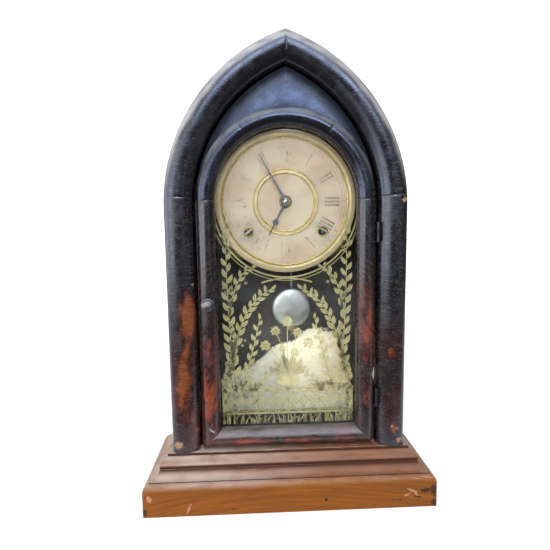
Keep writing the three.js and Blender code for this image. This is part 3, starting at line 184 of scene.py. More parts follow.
def as_rows(section: Array) -> Rows:
    """The two coordinates of a section, each as one row of a grid."""
    return section[None, :, 0], section[None, :, 1]


def about_axis(x: float, z: float, radius: Array, depth: Array, angle: Array) -> Array:
    """Points round an axis from front to back: (x + r cos a, depth, z + r sin a)."""
    return joined(x + radius * np.cos(angle), depth, z + radius * np.sin(angle))


def vertices(mesh: bpy.types.Mesh) -> Array:
    """The places of a mesh's vertices in millimetres.

    Args:
        mesh: the mesh.

    Returns:
        Vertices x 3.
    """
    place = np.zeros(len(mesh.vertices) * 3, np.float32)
    mesh.vertices.foreach_get("co", place)
    return place.reshape(-1, 3) / MM


def placed(right: Array, up: Array, back: Array, place: Array) -> Matrix:
    """The matrix of an object with those three axes at a place in metres.

    Args:
        right: the X axis.
        up: the Y axis.
        back: the Z axis.
        place: the origin.

    Returns:
        The matrix.
    """
    matrix = np.eye(4)
    matrix[:3] = np.stack([right, up, back, place], axis=1)
    return Matrix(matrix.tolist())


def ellipse(
    centre: Sequence[float], reach: Sequence[float], start: float, end: float, steps: int
) -> Array:
    """Points centre + (a cos t, b sin t) for steps + 1 angles t, in degrees."""
    t = np.radians(np.linspace(start, end, steps + 1))
    return joined(centre[0] + reach[0] * np.cos(t), centre[1] + reach[1] * np.sin(t))


def smooth_step(value: Array) -> Array:
    """0 below 0 and 1 above 1, with the cubic 3t^2 - 2t^3 between."""
    t = np.clip(value, 0.0, 1.0)
    return t * t * (3 - 2 * t)


@dataclass(frozen=True)
class Patch:
    """A worn place: an ellipse in X and Z that an attribute carries into a finish."""

    x: float
    z: float
    width: float
    height: float
    tilt: float = 0.0
    level: float = 1.0
    front: float = 100.0
    depth: float = 5.0

    def strength(self, points: Array) -> Array:
        """The level at the middle, 0 on the ellipse and below 0 outside it.

        The value is level (1 - sqrt((a / width)^2 + (b / height)^2 + c^2)), where a and b
        are the place along the turned axes and c is how far it lies behind the front.

        Args:
            points: an array of points in millimetres.

        Returns:
            One value for each point.
        """
        turn = math.radians(self.tilt)
        dx, dz = points[:, 0] - self.x, points[:, 2] - self.z
        along = (dx * math.cos(turn) + dz * math.sin(turn)) / self.width
        across = (dz * math.cos(turn) - dx * math.sin(turn)) / self.height
        behind = np.maximum(points[:, 1] - self.front, 0) / self.depth
        return self.level * (1 - np.sqrt(along**2 + across**2 + behind**2))


Wear = dict[str, list[Patch]]


class Graph:
    """A node tree in the making, with the masks that several finishes share."""

    def __init__(self, tree: bpy.types.NodeTree) -> None:
        """Takes over a tree and empties it."""
        tree.nodes.clear()
        self.tree = tree

    def add(
        self,
        kind: str,
        inputs: Inputs = (),
        output: int | str = 0,
        ramp: Sequence[tuple[float, str]] = (),
        **settings: Any,
    ) -> Socket | None:
        """Adds one node with its settings, values and links.

        Args:
            kind: the node's type name without its first word.
            inputs: values or sockets, in order or by name. A hex text is a colour.
            output: the output that is returned.
            ramp: places and hex colours of a colour ramp.
            settings: attributes of the node.

        Returns:
            The chosen output socket, or none for an output node.
        """
        node = self.tree.nodes.new(f"ShaderNode{kind}")
        for name, value in settings.items():
            setattr(node, name, value)
        for key, value in inputs.items() if isinstance(inputs, dict) else enumerate(inputs):
            if isinstance(value, Socket):
                self.tree.links.new(value, node.inputs[key])
            else:
                node.inputs[key].default_value = colour(value) if isinstance(value, str) else value
        if ramp:
            elements = node.color_ramp.elements
            while len(elements) < len(ramp):
                elements.new(0.5)
            for element, (place, text) in zip(elements, ramp):
                element.position, element.color = place, colour(text)
        return node.outputs[output] if node.outputs else None

    @property
    def uv(self) -> Socket:
        """Distances along the piece's own surface, in metres."""
        return self.add("TexCoord", output="UV")

    @property
    def place(self) -> Socket:
        """The place on the clock, in metres."""
        return self.add("TexCoord", output="Object")

    def cloud(
        self,
        place: Socket,
        size: float | Sequence[float],
        low: float,
        high: float,
        detail: float = 3.0,
    ) -> Socket:
        """Noise of a given feature size, cut so that low gives 0 and high gives 1.

        Args:
            place: coordinates in metres.
            size: the feature size in millimetres, also one for each axis.
            low: the noise value that becomes 0.
            high: the noise value that becomes 1.
            detail: how many finer layers the noise has.

        Returns:
            A value between 0 and 1.
        """
        sizes = (size,) * 3 if isinstance(size, (int, float)) else size
        scale = tuple(1 / (s * MM) for s in sizes)
        scaled = self.add("VectorMath", [place, scale], operation="MULTIPLY")
        noise = self.add("TexNoise", {"Vector": scaled, "Scale": 1.0, "Detail": detail})
        return self.add("MapRange", [noise, low, high], **SMOOTH)

    def layered(
        self, base: Socket | str, layers: Sequence[tuple[Socket | float, Socket | str, float]]
    ) -> Socket:
        """Lays colours over each other.

        Args:
            base: the lowest colour.
            layers: mask, colour and strength, from the lowest to the highest.

        Returns:
            The resulting colour.
        """
        for mask, over, strength in layers:
            share = self.add("Math", [mask, strength], operation="MULTIPLY", use_clamp=True)
            base = self.add("Mix", {0: share, 6: base, 7: over}, output=2, data_type="RGBA")
        return base

    def patch_mask(
        self, name: str, place: Socket, ragged: float, size: Any, soft: float = 0.14
    ) -> Socket:
        """A worn place with a ragged edge: an attribute plus noise, cut just above 0.

        Args:
            name: the attribute's name.
            place: coordinates in metres.
            ragged: how far the noise moves the edge.
            size: the noise's feature size in millimetres, also one for each axis.
            soft: the width of the fading edge, as a share of the place's size.

        Returns:
            A mask between 0 and 1.
        """
        value = self.add("Attribute", output="Fac", attribute_name=name)
        noise = self.cloud(place, size, 0.0, 1.0, 4.0)
        moved = self.add("Math", [noise, ragged, -ragged / 2], operation="MULTIPLY_ADD")
        total = self.add("Math", [value, moved], operation="ADD")
        return self.add("MapRange", [total, 0.12, 0.12 + soft], **SMOOTH)

    def across(self, axis: str, start: float, end: float, low: float = 0.0) -> Socket:
        """Rises smoothly from a low value to 1 between two places on an axis."""
        place = self.add("SeparateXYZ", [self.place], output=axis)
        return self.add("MapRange", [place, start * MM, end * MM, low], **SMOOTH)

    def upward(self, low: float, high: float) -> Socket:
        """How far the surface looks up: 0 below the low slope and 1 above the high one.

        Args:
            low: the low slope.
            high: the high slope.

        Returns:
            A mask between 0 and 1.
        """
        normal = self.add("NewGeometry", output="Normal")
        height = self.add("SeparateXYZ", [normal], output="Z")
        return self.add("MapRange", [height, low, high], **SMOOTH)

    def reach(self, centre: tuple[float, float]) -> Socket:
        """Distance in X and Z from a centre in millimetres and from its mirror image.

        Args:
            centre: its place across and up.

        Returns:
            A distance in metres.
        """
        mirrored = self.add("VectorMath", [self.place], operation="ABSOLUTE")
        flat = self.add("VectorMath", [mirrored, (1.0, 0.0, 1.0)], operation="MULTIPLY")
        middle = (centre[0] * MM, 0.0, centre[1] * MM)
        return self.add("VectorMath", [flat, middle], output="Value", operation="DISTANCE")

    def times(self, *factors: Socket | float) -> Socket:
        """The product of several masks.

        Args:
            factors: masks or numbers.

        Returns:
            Their product.
        """
        result = factors[0]
        for factor in factors[1:]:
            result = self.add("Math", [result, factor], operation="MULTIPLY")
        return result

    def seen(self) -> Socket:
        """1 for what the camera sees straight, in a gloss or through glass, and else 0.

        Returns:
            A mask of 0 and 1.
        """
        path = [
            self.add("LightPath", output=f"Is {name} Ray")
            for name in ("Camera", "Glossy", "Transmission")
        ]
        either = self.add("Math", path[:2], operation="MAXIMUM")
        return self.add("Math", [either, path[2]], operation="MAXIMUM")

    def shell(
        self, inputs: dict[str, Any], relief: Socket, strength: float, size: float
    ) -> Socket:
        """The common shader, with a relief whose height of 1 stands for a size in mm."""
        bump = self.add("Bump", {"Strength": strength, "Distance": size * MM, "Height": relief})
        return self.add("BsdfPrincipled", {**inputs, "Normal": bump})


@dataclass(frozen=True)
class Finish:
    """A finish that is made once and then shared."""

    name: str

    def material(self) -> bpy.types.Material:
        """The finish as a material, made the first time that it is asked for.

        Returns:
            The material.
        """
        made = bpy.data.materials.get(self.name)
        if not made:
            made = bpy.data.materials.new(self.name)
            made.use_nodes = True
            graph = Graph(made.node_tree)
            graph.add("OutputMaterial", {"Surface": self.surface(graph)})
        return made

    def surface(self, graph: Graph) -> Socket:
        """Adds the finish's nodes and returns the shader."""
        raise NotImplementedError


class Piece:
    """One visible piece, gathered from grids and then made into a closed mesh."""

    def __init__(self, name: str) -> None:
        """Starts an empty piece.

        Args:
            name: its name.
        """
        self.name = name
        self.points: list[Array] = []
        self.faces: list[list[int]] = []
        self.uvs: list[Array] = []
        self.count = 0

    def grid(self, points: Array, ends: bool = True) -> "Piece":
        """Adds a tube whose section runs along axis 1 and whose path runs along axis 0.

        Its UVs are the distances along both axes. The faces are turned over where the
        volume that they enclose, a sum of a x b . c over their corners, comes out negative.

        Args:
            points: rows x columns x 3, with the first column repeated as the last.
            ends: whether the first and last section are closed with a face.

        Returns:
            The piece itself.
        """
        rows, columns = points.shape[:2]
        flat = points.reshape(-1, 3)
        quads = grid_faces(rows, columns)
        middle = flat.mean(axis=0)
        a, b, c, d = (flat[quads[:, k]] - middle for k in range(4))
        volume = (np.cross(a, b) * c).sum() + (np.cross(a, c) * d).sum()
        faces = quads.tolist()
        if ends:
            first = list(range(columns - 1))
            for ring in (first[::-1], [(rows - 1) * columns + k for k in first]):
                faces.append(ring)
                fan = flat[ring] - middle
                volume += (np.cross(fan[:1].repeat(len(ring) - 2, 0), fan[1:-1]) * fan[2:]).sum()
        if volume < 0:
            faces = [face[::-1] for face in faces]
        uv = joined(lengths_along(points, 0), lengths_along(points, 1))
        return self.gather(flat, uv, faces)

    def gather(self, points: Array, uv: Array, faces: list[list[int]]) -> "Piece":
        """Takes up points, their UVs and the faces that count from the first of them.

        Args:
            points: points x 3.
            uv: two distances for each.
            faces: rows of indices.

        Returns:
            The piece itself.
        """
        self.faces += [[index + self.count for index in face] for face in faces]
        self.points.append(points)
        self.uvs.append(uv.reshape(-1, 2))
        self.count += len(points)
        return self

    def strokes(self, paths: Array, half_widths: Array, front: float, back: float) -> "Piece":
        """Adds flat closed ribbons, each a path in X and Z with its own width.

        The edge points are path + width * n and path - width * n, where n is the path's
        direction turned by 90 degrees, and each is set at both depths.

        Args:
            paths: ribbons x points x 2.
            half_widths: ribbons x points.
            front: the nearer depth.
            back: the farther depth.

        Returns:
            The piece itself.
        """
        count, steps = paths.shape[:2]
        along = np.gradient(paths, axis=1)
        along /= np.maximum(np.linalg.norm(along, axis=-1, keepdims=True), 1e-9)
        across = joined(-along[..., 1], along[..., 0]) * half_widths[..., None]
        left, right = paths + across, paths - across
        rim = [(left, front), (right, front), (right, back), (left, back), (left, front)]
        points = np.stack([joined(edge[..., 0], y, edge[..., 1]) for edge, y in rim], axis=2)
        last = (steps - 1) * 5
        ends = np.array([[3, 2, 1, 0], [last, last + 1, last + 2, last + 3]])
        one = np.concatenate([grid_faces(steps, 5), ends])
        faces = one[None] + np.arange(count)[:, None, None] * steps * 5
        flat = points.reshape(-1, 3)
        return self.gather(flat, flat[:, [0, 2]], faces.reshape(-1, 4).tolist())

    def make(
        self,
        body: str,
        slot: str,
        finish: Finish,
        replaces: Sequence[str] = (),
        wear: Wear | None = None,
        sharp: float = SHARP_ANGLE,
    ) -> None:
        """Welds the grids into a mesh, and sets it on its body.

        Args:
            body: the body that it rides on.
            slot: the record's material slot; not used.
            finish: its finish.
            replaces: the solid nodes that it stands for.
            wear: worn places by attribute name.
            sharp: edges steeper than this stay crisp.
        """
        mesh = bpy.data.meshes.new(self.name)
        mesh.from_pydata((np.concatenate(self.points) * MM).tolist(), [], self.faces)
        loops = np.zeros(len(mesh.loops), np.int32)
        mesh.loops.foreach_get("vertex_index", loops)
        uvs = np.concatenate(self.uvs) * MM
        layer = mesh.uv_layers.new(name="UVMap")
        layer.data.foreach_set("uv", uvs[loops].astype(np.float32).ravel())
        work = bmesh.new()
        work.from_mesh(mesh)
        bmesh.ops.remove_doubles(work, verts=work.verts, dist=WELD)
        work.to_mesh(mesh)
        work.free()
        mesh.polygons.foreach_set("use_smooth", np.ones(len(mesh.polygons), bool))
        mesh.set_sharp_from_angle(angle=sharp)
        place = vertices(mesh)
        for name in MARKS:
            value = np.full(len(place), -1.0)
            for spot in (wear or {}).get(name, ()):
                value = np.maximum(value, spot.strength(place))
            attribute = mesh.attributes.new(name, "FLOAT", "POINT")
            attribute.data.foreach_set("value", value.astype(np.float32))
        mesh.materials.append(finish.material())
        piece = bpy.data.objects.new(self.name, mesh)
        bpy.context.scene.collection.objects.link(piece)
        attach(piece, body)
        if replaces:
            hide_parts(*replaces)
        LOG.info("%s: %d faces on %s", self.name, len(mesh.polygons), body)


def turned_grid(profile: Array, x: float, z: float, steps: int) -> Array:
    """A profile of radius and depth, carried round an axis from front to back."""
    angle = np.linspace(0, 2 * math.pi, steps + 1)[None, :]
    return about_axis(x, z, profile[:, :1], profile[:, 1:], angle)


def turned(
    name: str,
    profile: Array,
    centre: tuple[float, float],
    steps: int,
    body: str,
    slot: str,
    finish: Finish,
    replaces: Sequence[str] = (),
    sharp: float = SHARP_ANGLE,
) -> None:
    """Makes a turned piece from its profile and the place of its axis across and up."""
    grid = turned_grid(profile, *centre, steps)
    Piece(name).grid(grid, ends=False).make(body, slot, finish, replaces, sharp=sharp)


def dress(nodes: Sequence[str], finish: Finish) -> None:
    """Gives solid nodes that stay in view their finish.

    Args:
        nodes: the nodes' names.
        finish: the finish.
    """
    for node in nodes:
        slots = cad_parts[node].data.materials
        slots.clear()
        slots.append(finish.material())
        LOG.info("%s: %s", node, finish.name)


# Finishes


@dataclass(frozen=True)
class VarnishedVeneer(Finish):
    """Dark rosewood veneer, bent across the mouldings and varnished.

    The eye gets a near-black brown that warms to red-brown lower down, fine grain and
    hairline cracks across the moulding, a soft gloss, grey bloom on what looks up, and
    places rubbed through to a warm amber or chipped to the bare wood. Where an edge radius is
    given, a painted shade darkens the corner along the pointed outline.
    """

    dark: str = "#131111"
    brown: str = "#2a1b16"
    red: str = "#552819"
    rubbed: tuple[str, str, str] = ("#32130a", "#562611", "#844416")
    bare: str = "#a47c54"
    crack: str = "#080707"
    hairline: str = "#8d8e8e"
    scratch: str = "#b0aeaa"
    speck: str = "#a09c98"
    grime: str = "#060505"
    dust: str = "#a3a5a6"
    # tint colours the reflections; its blue stands in for a blue sky: painted reflection colour.
    tint: str = "#d6e0f2"
    ior: float = 1.72
    edge_radius: float = 0.0
    dust_amount: float = 0.75
    dust_slope: float = 0.5
    warm_top: float = 250.0
    warm_bottom: float = 110.0
    gloss: float = 0.25

    def surface(self, graph: Graph) -> Socket:
        """Grain across the length, warmth by height, wear by attribute.

        Args:
            graph: the finish's nodes.

        Returns:
            The shader.
        """
        uv, place = graph.uv, graph.place
        grain = graph.cloud(uv, (0.9, 26, 1), 0.32, 0.7, 4.0)
        figure = graph.cloud(place, (34, 34, 52), 0.38, 0.66)
        warmth = graph.across("Z", self.warm_top, self.warm_bottom)
        crack = graph.cloud(uv, (0.45, 60, 1), 0.34, 0.29, 2.0)
        line = graph.cloud(uv, (0.8, 20, 1), 0.48, 0.62)
        rub = graph.patch_mask("rub", uv, 0.8, (15, 7, 1), 0.6)
        worn = graph.add("ValToRGB", [rub], ramp=list(zip((0.0, 0.5, 1.0), self.rubbed)))
        thin = graph.add("MapRange", {"Value": rub, "From Max": 0.3})
        bare = graph.patch_mask("bare", place, 0.9, 2.4, 0.3)
        # The pale hairlines and scratches are real marks, but the lit mask keeps them off faces
        # that look down, so they show only where light catches them: painted glint.
        lit = graph.upward(-0.35, 0.0)
        film = graph.cloud(uv, (24, 7, 1), 0.2, 0.62, 7.0)
        dusty = graph.times(graph.upward(0.02, self.dust_slope), film)
        # Painted shade: near-black along the pointed outline of the head board, under the arch
        # moulding.
        grime = self.edge_grime(graph)
        hairline = graph.times(lit, graph.cloud(uv, (0.5, 16, 1), 0.62, 0.67))
        scratch = graph.times(lit, graph.cloud(uv, (0.4, 6, 1), 0.655, 0.69, 2.0))
        body = graph.layered(self.dark, [
            (grain, self.brown, 0.28),
            (warmth, self.brown, 0.7),
            (graph.times(warmth, figure), self.red, 0.7),
            (thin, worn, 0.92),
            (graph.times(thin, line), self.dark, 0.45),
            (crack, self.crack, 0.7),
            (dusty, self.dust, self.dust_amount),
            (hairline, self.hairline, 0.3),
            (scratch, self.scratch, 0.35),
            (graph.cloud(place, 1.4, 0.70, 0.74, 2.0), self.speck, 0.3),
            (bare, self.bare, 0.9),
            (grime, self.grime, 1.0),
        ])
        wear = graph.cloud(place, 12, 0.3, 0.75, 5.0)
        glossy, dull = self.gloss - 0.05, self.gloss + 0.12
        rough = graph.add("MapRange", {"Value": wear, "To Min": glossy, "To Max": dull})
        for mask, amount in ((bare, 0.45), (grime, 0.6), (dusty, 0.25)):
            rough = graph.add("Math", [mask, amount, rough], operation="MULTIPLY_ADD")
        ripple, relief = graph.cloud(place, 8, 0.2, 0.8, 2.0), grain
        for mask, amount in ((crack, -0.8), (bare, -2.0), (ripple, 0.9)):
            relief = graph.add("Math", [mask, amount, relief], operation="MULTIPLY_ADD")
        # Specular Tint gives the varnish's reflections a blue cast that stands in for a blue sky:
        # a painted reflection colour.
        gloss = {"Roughness": rough, "IOR": self.ior, "Specular Tint": self.tint}
        return graph.shell({"Base Color": body, **gloss}, relief, 0.1, 0.2)

    def edge_grime(self, graph: Graph) -> Socket | float:
        """Painted shade along the pointed outline, under the arch moulding, or 0 where there is
        none.

        Args:
            graph: the finish's nodes.

        Returns:
            A mask between 0 and 1.
        """
        if not self.edge_radius:
            return 0.0
        reach = graph.reach((-ARCH.offset, ARCH.spring))
        start, end = (self.edge_radius - 12) * MM, (self.edge_radius - 2) * MM
        return graph.add("MapRange", [reach, start, end], **SMOOTH)


@dataclass(frozen=True)
class WornMahogany(Finish):
    """Varnished softwood and mahogany of the base, rubbed to a warm orange brown.

    The eye gets grain along the board, dark streaks, specks and dents, pale edges that are
    partly rubbed wear and partly painted highlight, painted shade on what looks down, and
    pinkish grey dust on what looks up, thicker towards the left.
    """

    light: str = "#995618"
    ground: str = "#804714"
    dark: str = "#46240e"
    shade: str = "#331b12"
    dust: str = "#c8b8ad"
    bare: str = "#c99a72"
    hole: str = "#26160f"
    edge: str = "#cba488"
    edge_height: float = 32.2
    edge_reach: float = 2.2
    painted_under_shade_amount: float = 0.0
    dust_amount: float = 0.6
    dust_right: float = 0.3
    gloss: float = 0.42
    ior: float = 1.42
    tint: str = "#ffd8ac"

    def surface(self, graph: Graph) -> Socket:
        """Grain along the length, dust by slope and place.

        Args:
            graph: the finish's nodes.

        Returns:
            The shader.
        """
        uv, place = graph.uv, graph.place
        grain = graph.cloud(uv, (46, 1.0, 1), 0.34, 0.68, 5.0)
        specks = graph.cloud(uv, (2.6, 1.3, 1), 0.66, 0.71)
        left = graph.across("X", 60, -100, self.dust_right)
        film = graph.cloud(place, (26, 26, 9), 0.05, 0.65, 5.0)
        dusty = graph.times(graph.upward(0.05, 0.9), left, film)
        # Pale band along the rounded edge at a set height: partly rubbed wear and partly painted
        # highlight where the edge turns up to the light.
        height, reach = self.edge_height, self.edge_reach
        edge = graph.times(
            graph.across("Z", height - reach, height),
            graph.across("Z", height + reach, height),
            graph.cloud(uv, (23, 2.4, 1), 0.53, 0.70, 6.0),
        )
        body = graph.layered(self.ground, [
            (grain, self.light, 0.65),
            (graph.cloud(uv, (120, 5, 1), 0.38, 0.66, 2.0), self.dark, 0.28),
            (graph.cloud(uv, (34, 0.7, 1), 0.60, 0.67), self.dark, 0.5),
            (specks, self.dark, 0.75),
            # Painted shade: darker on faces that look level or down, such as the nose and the
            # upper cove.
            (graph.upward(0.8, 0.0), self.shade, self.painted_under_shade_amount),
            (dusty, self.dust, self.dust_amount),
            (edge, self.edge, 0.6),
            (graph.patch_mask("rub", place, 0.7, 2), self.bare, 0.6),
            (graph.patch_mask("bare", place, 0.9, (3, 3, 2)), self.hole, 0.85),
        ])
        span = {"To Min": self.gloss, "To Max": self.gloss + 0.35}
        rough = graph.add("MapRange", {"Value": dusty, **span})
        relief = graph.add("Math", [specks, -1.0, grain], operation="MULTIPLY_ADD")
        gloss = {"Roughness": rough, "IOR": self.ior, "Specular Tint": self.tint}
        return graph.shell({"Base Color": body, **gloss}, relief, 0.4, 0.3)


@dataclass(frozen=True)
class OldPine(Finish):
    """Sawn pine: gone brown behind the case, and near-black inside it, a painted shade of the
    closed case.

    The eye gets streaks up the board, darker knots of dirt and the marks of the saw.
    """

    light: str = "#8a6846"
    dark: str = "#4c3625"
    inside_painted_shade_pale: str = "#2c221a"
    inside_painted_shade_dark: str = "#15110e"
    back: float = 52.0

    def surface(self, graph: Graph) -> Socket:
        """Streaks along the height, with painted shade up to the middle of the backboard.

        Args:
            graph: the finish's nodes.

        Returns:
            The shader.
        """
        place = graph.place
        streak = graph.cloud(place, (2.2, 2.2, 60), 0.3, 0.7, 4.0)
        dirt = graph.cloud(place, 40, 0.35, 0.65, 4.0)
        outside = graph.layered(self.light, [(streak, self.dark, 0.6), (dirt, self.dark, 0.6)])
        # Painted shade: inside the case the pine is coloured near-black for the shade that it lies
        # in.
        shades = [(streak, self.inside_painted_shade_dark, 0.6), (dirt, self.inside_painted_shade_dark, 0.7)]
        inside = graph.layered(self.inside_painted_shade_pale, shades)
        behind = graph.across("Y", self.back - 0.5, self.back + 0.5)
        body = graph.layered(inside, [(behind, outside, 1.0)])
        saw = graph.cloud(place, (80, 80, 1.4), 0.4, 0.6, 1.0)
        relief = graph.add("Math", [saw, 0.4, streak], operation="MULTIPLY_ADD")
        return graph.shell({"Base Color": body, "Roughness": 0.8}, relief, 0.4, 0.3)


@dataclass(frozen=True)
class CrownGlass(Finish):
    """Old window glass: clear, faintly wavy, with a thin film of dust.

    The eye gets the reflection of the light, stronger at a glancing angle.
    """

    clear: str = "#fcfdfb"
    film: str = "#cfd6d6"
    film_share: float = 0.022

    def surface(self, graph: Graph) -> Socket:
        """Clear, mirror by Fresnel on the outer faces, and a thin pale film.

        Args:
            graph: the finish's nodes.

        Returns:
            The shader.
        """
        waves = graph.cloud(graph.place, 45, 0.2, 0.8, 1.0)
        bump = graph.add("Bump", {"Strength": 0.12, "Distance": 0.6 * MM, "Height": waves})
        clear = graph.add("BsdfTransparent", [self.clear])
        mirror = graph.add("BsdfGlossy", {"Roughness": 0.03, "Normal": bump})
        film = graph.add("BsdfDiffuse", [self.film])
        glance = graph.add("Fresnel", {"IOR": 1.38, "Normal": bump})
        inside = graph.add("NewGeometry", output="Backfacing")
        outside = graph.add("Math", [1.0, inside], operation="SUBTRACT")
        pane = graph.add("MixShader", [graph.times(glance, outside), clear, mirror])
        smear = graph.cloud(graph.place, (60, 60, 38), 0.3, 0.75)
        return graph.add("MixShader", [graph.times(smear, self.film_share), pane, film])


@dataclass(frozen=True)
class GoldTransfer(Finish):
    """Gold bronze powder printed on the back of the glass: a dull olive gold.

    The eye gets a matt metallic colour with lighter and browner places and worn specks.
    """

    light: str = "#bfb483"
    ground: str = "#a79c69"
    dark: str = "#7c7044"

    def surface(self, graph: Graph) -> Socket:
        """Cloudy olive gold, part metal.

        Args:
            graph: the finish's nodes.

        Returns:
            The shader.
        """
        place = graph.place
        cloud = graph.cloud(place, 16, 0.35, 0.65, 4.0)
        fine = graph.cloud(place, 1.4, 0.40, 0.62)
        body = graph.layered(self.ground, [(cloud, self.light, 0.7), (fine, self.dark, 0.45)])
        metal = {"Metallic": 0.15, "Roughness": 0.5}
        return graph.add("BsdfPrincipled", {"Base Color": body, **metal})


@dataclass(frozen=True)
class AgedMetal(Finish):
    """A metal with its tarnish: cloudy darker film, fine turning marks and dull spots."""

    bright: str = "#c8b35c"
    film: str = "#8d7a3a"
    spot: str = "#4c4020"
    film_amount: float = 0.6
    spot_amount: float = 0.5
    roughness: float = 0.3
    metallic: float = 1.0

    def surface(self, graph: Graph) -> Socket:
        """Film and spots over bright metal.

        Args:
            graph: the finish's nodes.

        Returns:
            The shader.
        """
        place = graph.place
        film = graph.cloud(place, 13, 0.36, 0.68, 4.0)
        marks = graph.cloud(place, (0.5, 6, 3), 0.3, 0.7, 2.0)
        body = graph.layered(self.bright, [
            (film, self.film, self.film_amount),
            (graph.cloud(place, 2.6, 0.62, 0.70, 4.0), self.spot, self.spot_amount),
            (marks, self.film, 0.18),
        ])
        span = {"To Min": self.roughness - 0.06, "To Max": self.roughness + 0.16}
        rough = graph.add("MapRange", {"Value": film, **span})
        inputs = {"Base Color": body, "Metallic": self.metallic, "Roughness": rough}
        return graph.shell(inputs, marks, 0.15, 0.1)


@dataclass(frozen=True)
class DialPaint(Finish):
    """Old off-white paint on sheet zinc, gone pinkish tan.

    The eye gets cloudy staining, a grey-green bloom round the two winding holes, paler
    places and fine dirt.
    """

    ground: str = "#c2ab92"
    pale: str = "#cfbfa8"
    pink: str = "#ba997e"
    bloom: str = "#95978a"
    dirt: str = "#8a7763"

    def surface(self, graph: Graph) -> Socket:
        """Stains by noise and by distance from the holes.

        Args:
            graph: the finish's nodes.

        Returns:
            The shader.
        """
        place = graph.place
        cloud = graph.cloud(place, (30, 30, 22), 0.35, 0.65, 4.0)
        wobble = graph.cloud(place, 9, 0.2, 0.8, 4.0)
        edge = graph.add("Math", [wobble, 0.012, graph.reach(WINDING)], operation="MULTIPLY_ADD")
        body = graph.layered(self.ground, [
            (cloud, self.pink, 0.55),
            (graph.cloud(place, (46, 46, 34), 0.42, 0.62), self.pale, 0.7),
            (graph.add("MapRange", [edge, 0.024, 0.007], **SMOOTH), self.bloom, 0.75),
            (graph.cloud(place, 1.8, 0.62, 0.72, 4.0), self.dirt, 0.5),
        ])
        return graph.shell({"Base Color": body, "Roughness": 0.5}, cloud, 0.2, 0.1)


@dataclass(frozen=True)
class FadedInk(Finish):
    """Black dial ink rubbed thin, most of all on the left, so that the paint shows through.

    The eye gets brown-black strokes that break up and fade.
    """

    ink: str = "#5a4f48"
    worn: str = "#c8b49c"

    def surface(self, graph: Graph) -> Socket:
        """Ink broken up by noise, with more of it kept on the right.

        Args:
            graph: the finish's nodes.

        Returns:
            The shader.
        """
        across = graph.add("SeparateXYZ", [graph.place], output="X")
        kept = graph.add("MapRange", [across, 0.012, 0.05, 1.0, 0.35])
        worn = graph.times(graph.cloud(graph.place, 7, 0.30, 0.52, 5.0), kept)
        thin = graph.times(kept, 0.35)
        body = graph.layered(self.ink, [(thin, self.worn, 1.0), (worn, self.worn, 0.85)])
        return graph.add("BsdfPrincipled", {"Base Color": body, "Roughness": 0.6})


@dataclass(frozen=True)
class RagPaper(Finish):
    """Rag paper of an old label, bare of print.

    The eye gets cream paper with brown foxing, grey clouds and soft creases.
    """

    ground: str = "#fcf5dd"
    foxing: str = "#dbc492"
    grey: str = "#dcd6c3"

    def surface(self, graph: Graph) -> Socket:
        """Foxing spots and grey clouds, creases as relief.

        Args:
            graph: the finish's nodes.

        Returns:
            The shader.
        """
        place = graph.place
        crease = graph.cloud(place, (22, 22, 3), 0.44, 0.52, 4.0)
        body = graph.layered(self.ground, [
            (graph.cloud(place, (24, 24, 14), 0.35, 0.68, 5.0), self.grey, 0.35),
            (graph.cloud(place, 5, 0.58, 0.72, 4.0), self.foxing, 0.45),
            (crease, self.grey, 0.2),
        ])
        return graph.shell({"Base Color": body, "Roughness": 0.9}, crease, 0.5, 0.6)


@dataclass(frozen=True)
class FlagCloth(Finish):
    """Dark grey cloth of the studio's flags: matt, so that glass shows a calm dark tone."""

    ground: str = "#3b3b3e"

    def surface(self, graph: Graph) -> Socket:
        """A matt dark ground."""
        return graph.add("BsdfDiffuse", [self.ground])


@dataclass(frozen=True)
class StudioGround(Finish):
    """White sweep of the studio: it keeps the shadow and is white to the camera."""

    ground: str = "#e6e6e6"
    lift: float = 0.36
    far_lift: float = 0.75

    def surface(self, graph: Graph) -> Socket:
        """A pale matt ground, lifted to white for what looks at it, the more the farther.

        Args:
            graph: the finish's nodes.

        Returns:
            The shader.
        """
        distance = graph.add("VectorMath", [graph.place], output="Value", operation="LENGTH")
        lift = graph.add("MapRange", [distance, 0.4, 1.4, self.lift, self.far_lift])
        matt = graph.add("BsdfDiffuse", [self.ground])
        glow = graph.add("Emission", ["#ffffff", graph.times(graph.seen(), lift)])
        return graph.add("AddShader", [matt, glow])


# The blue tints of these veneers colour their reflections as a blue sky would: painted reflection
# colour.
VENEER = VarnishedVeneer("rosewood_veneer_varnished")
ARCH_VENEER = VarnishedVeneer(
    "rosewood_veneer_bloomed", tint="#c2d0e8", dust="#a39f9c", dust_amount=0.95,
    dust_slope=0.22, gloss=0.2,
)
RING_VENEER = VarnishedVeneer(
    "rosewood_veneer_ring", tint="#b6caee", dust="#8d8f92", dust_amount=0.5, warm_top=350.0,
    warm_bottom=200.0, gloss=0.2,
)
RIGHT_VENEER = VarnishedVeneer(
    "rosewood_veneer_right", red="#3d1d15", brown="#261a18", warm_top=230.0, warm_bottom=120.0,
)
DOOR_VENEER = VarnishedVeneer(
    "rosewood_veneer_door", red="#5a291c", rubbed=("#3a160f", "#6b2c1a", "#8c3f20"),
    bare="#d6cfb8", dust="#8f8680", dust_amount=0.42, tint="#dfe4ee", warm_top=300.0,
    warm_bottom=170.0,
)
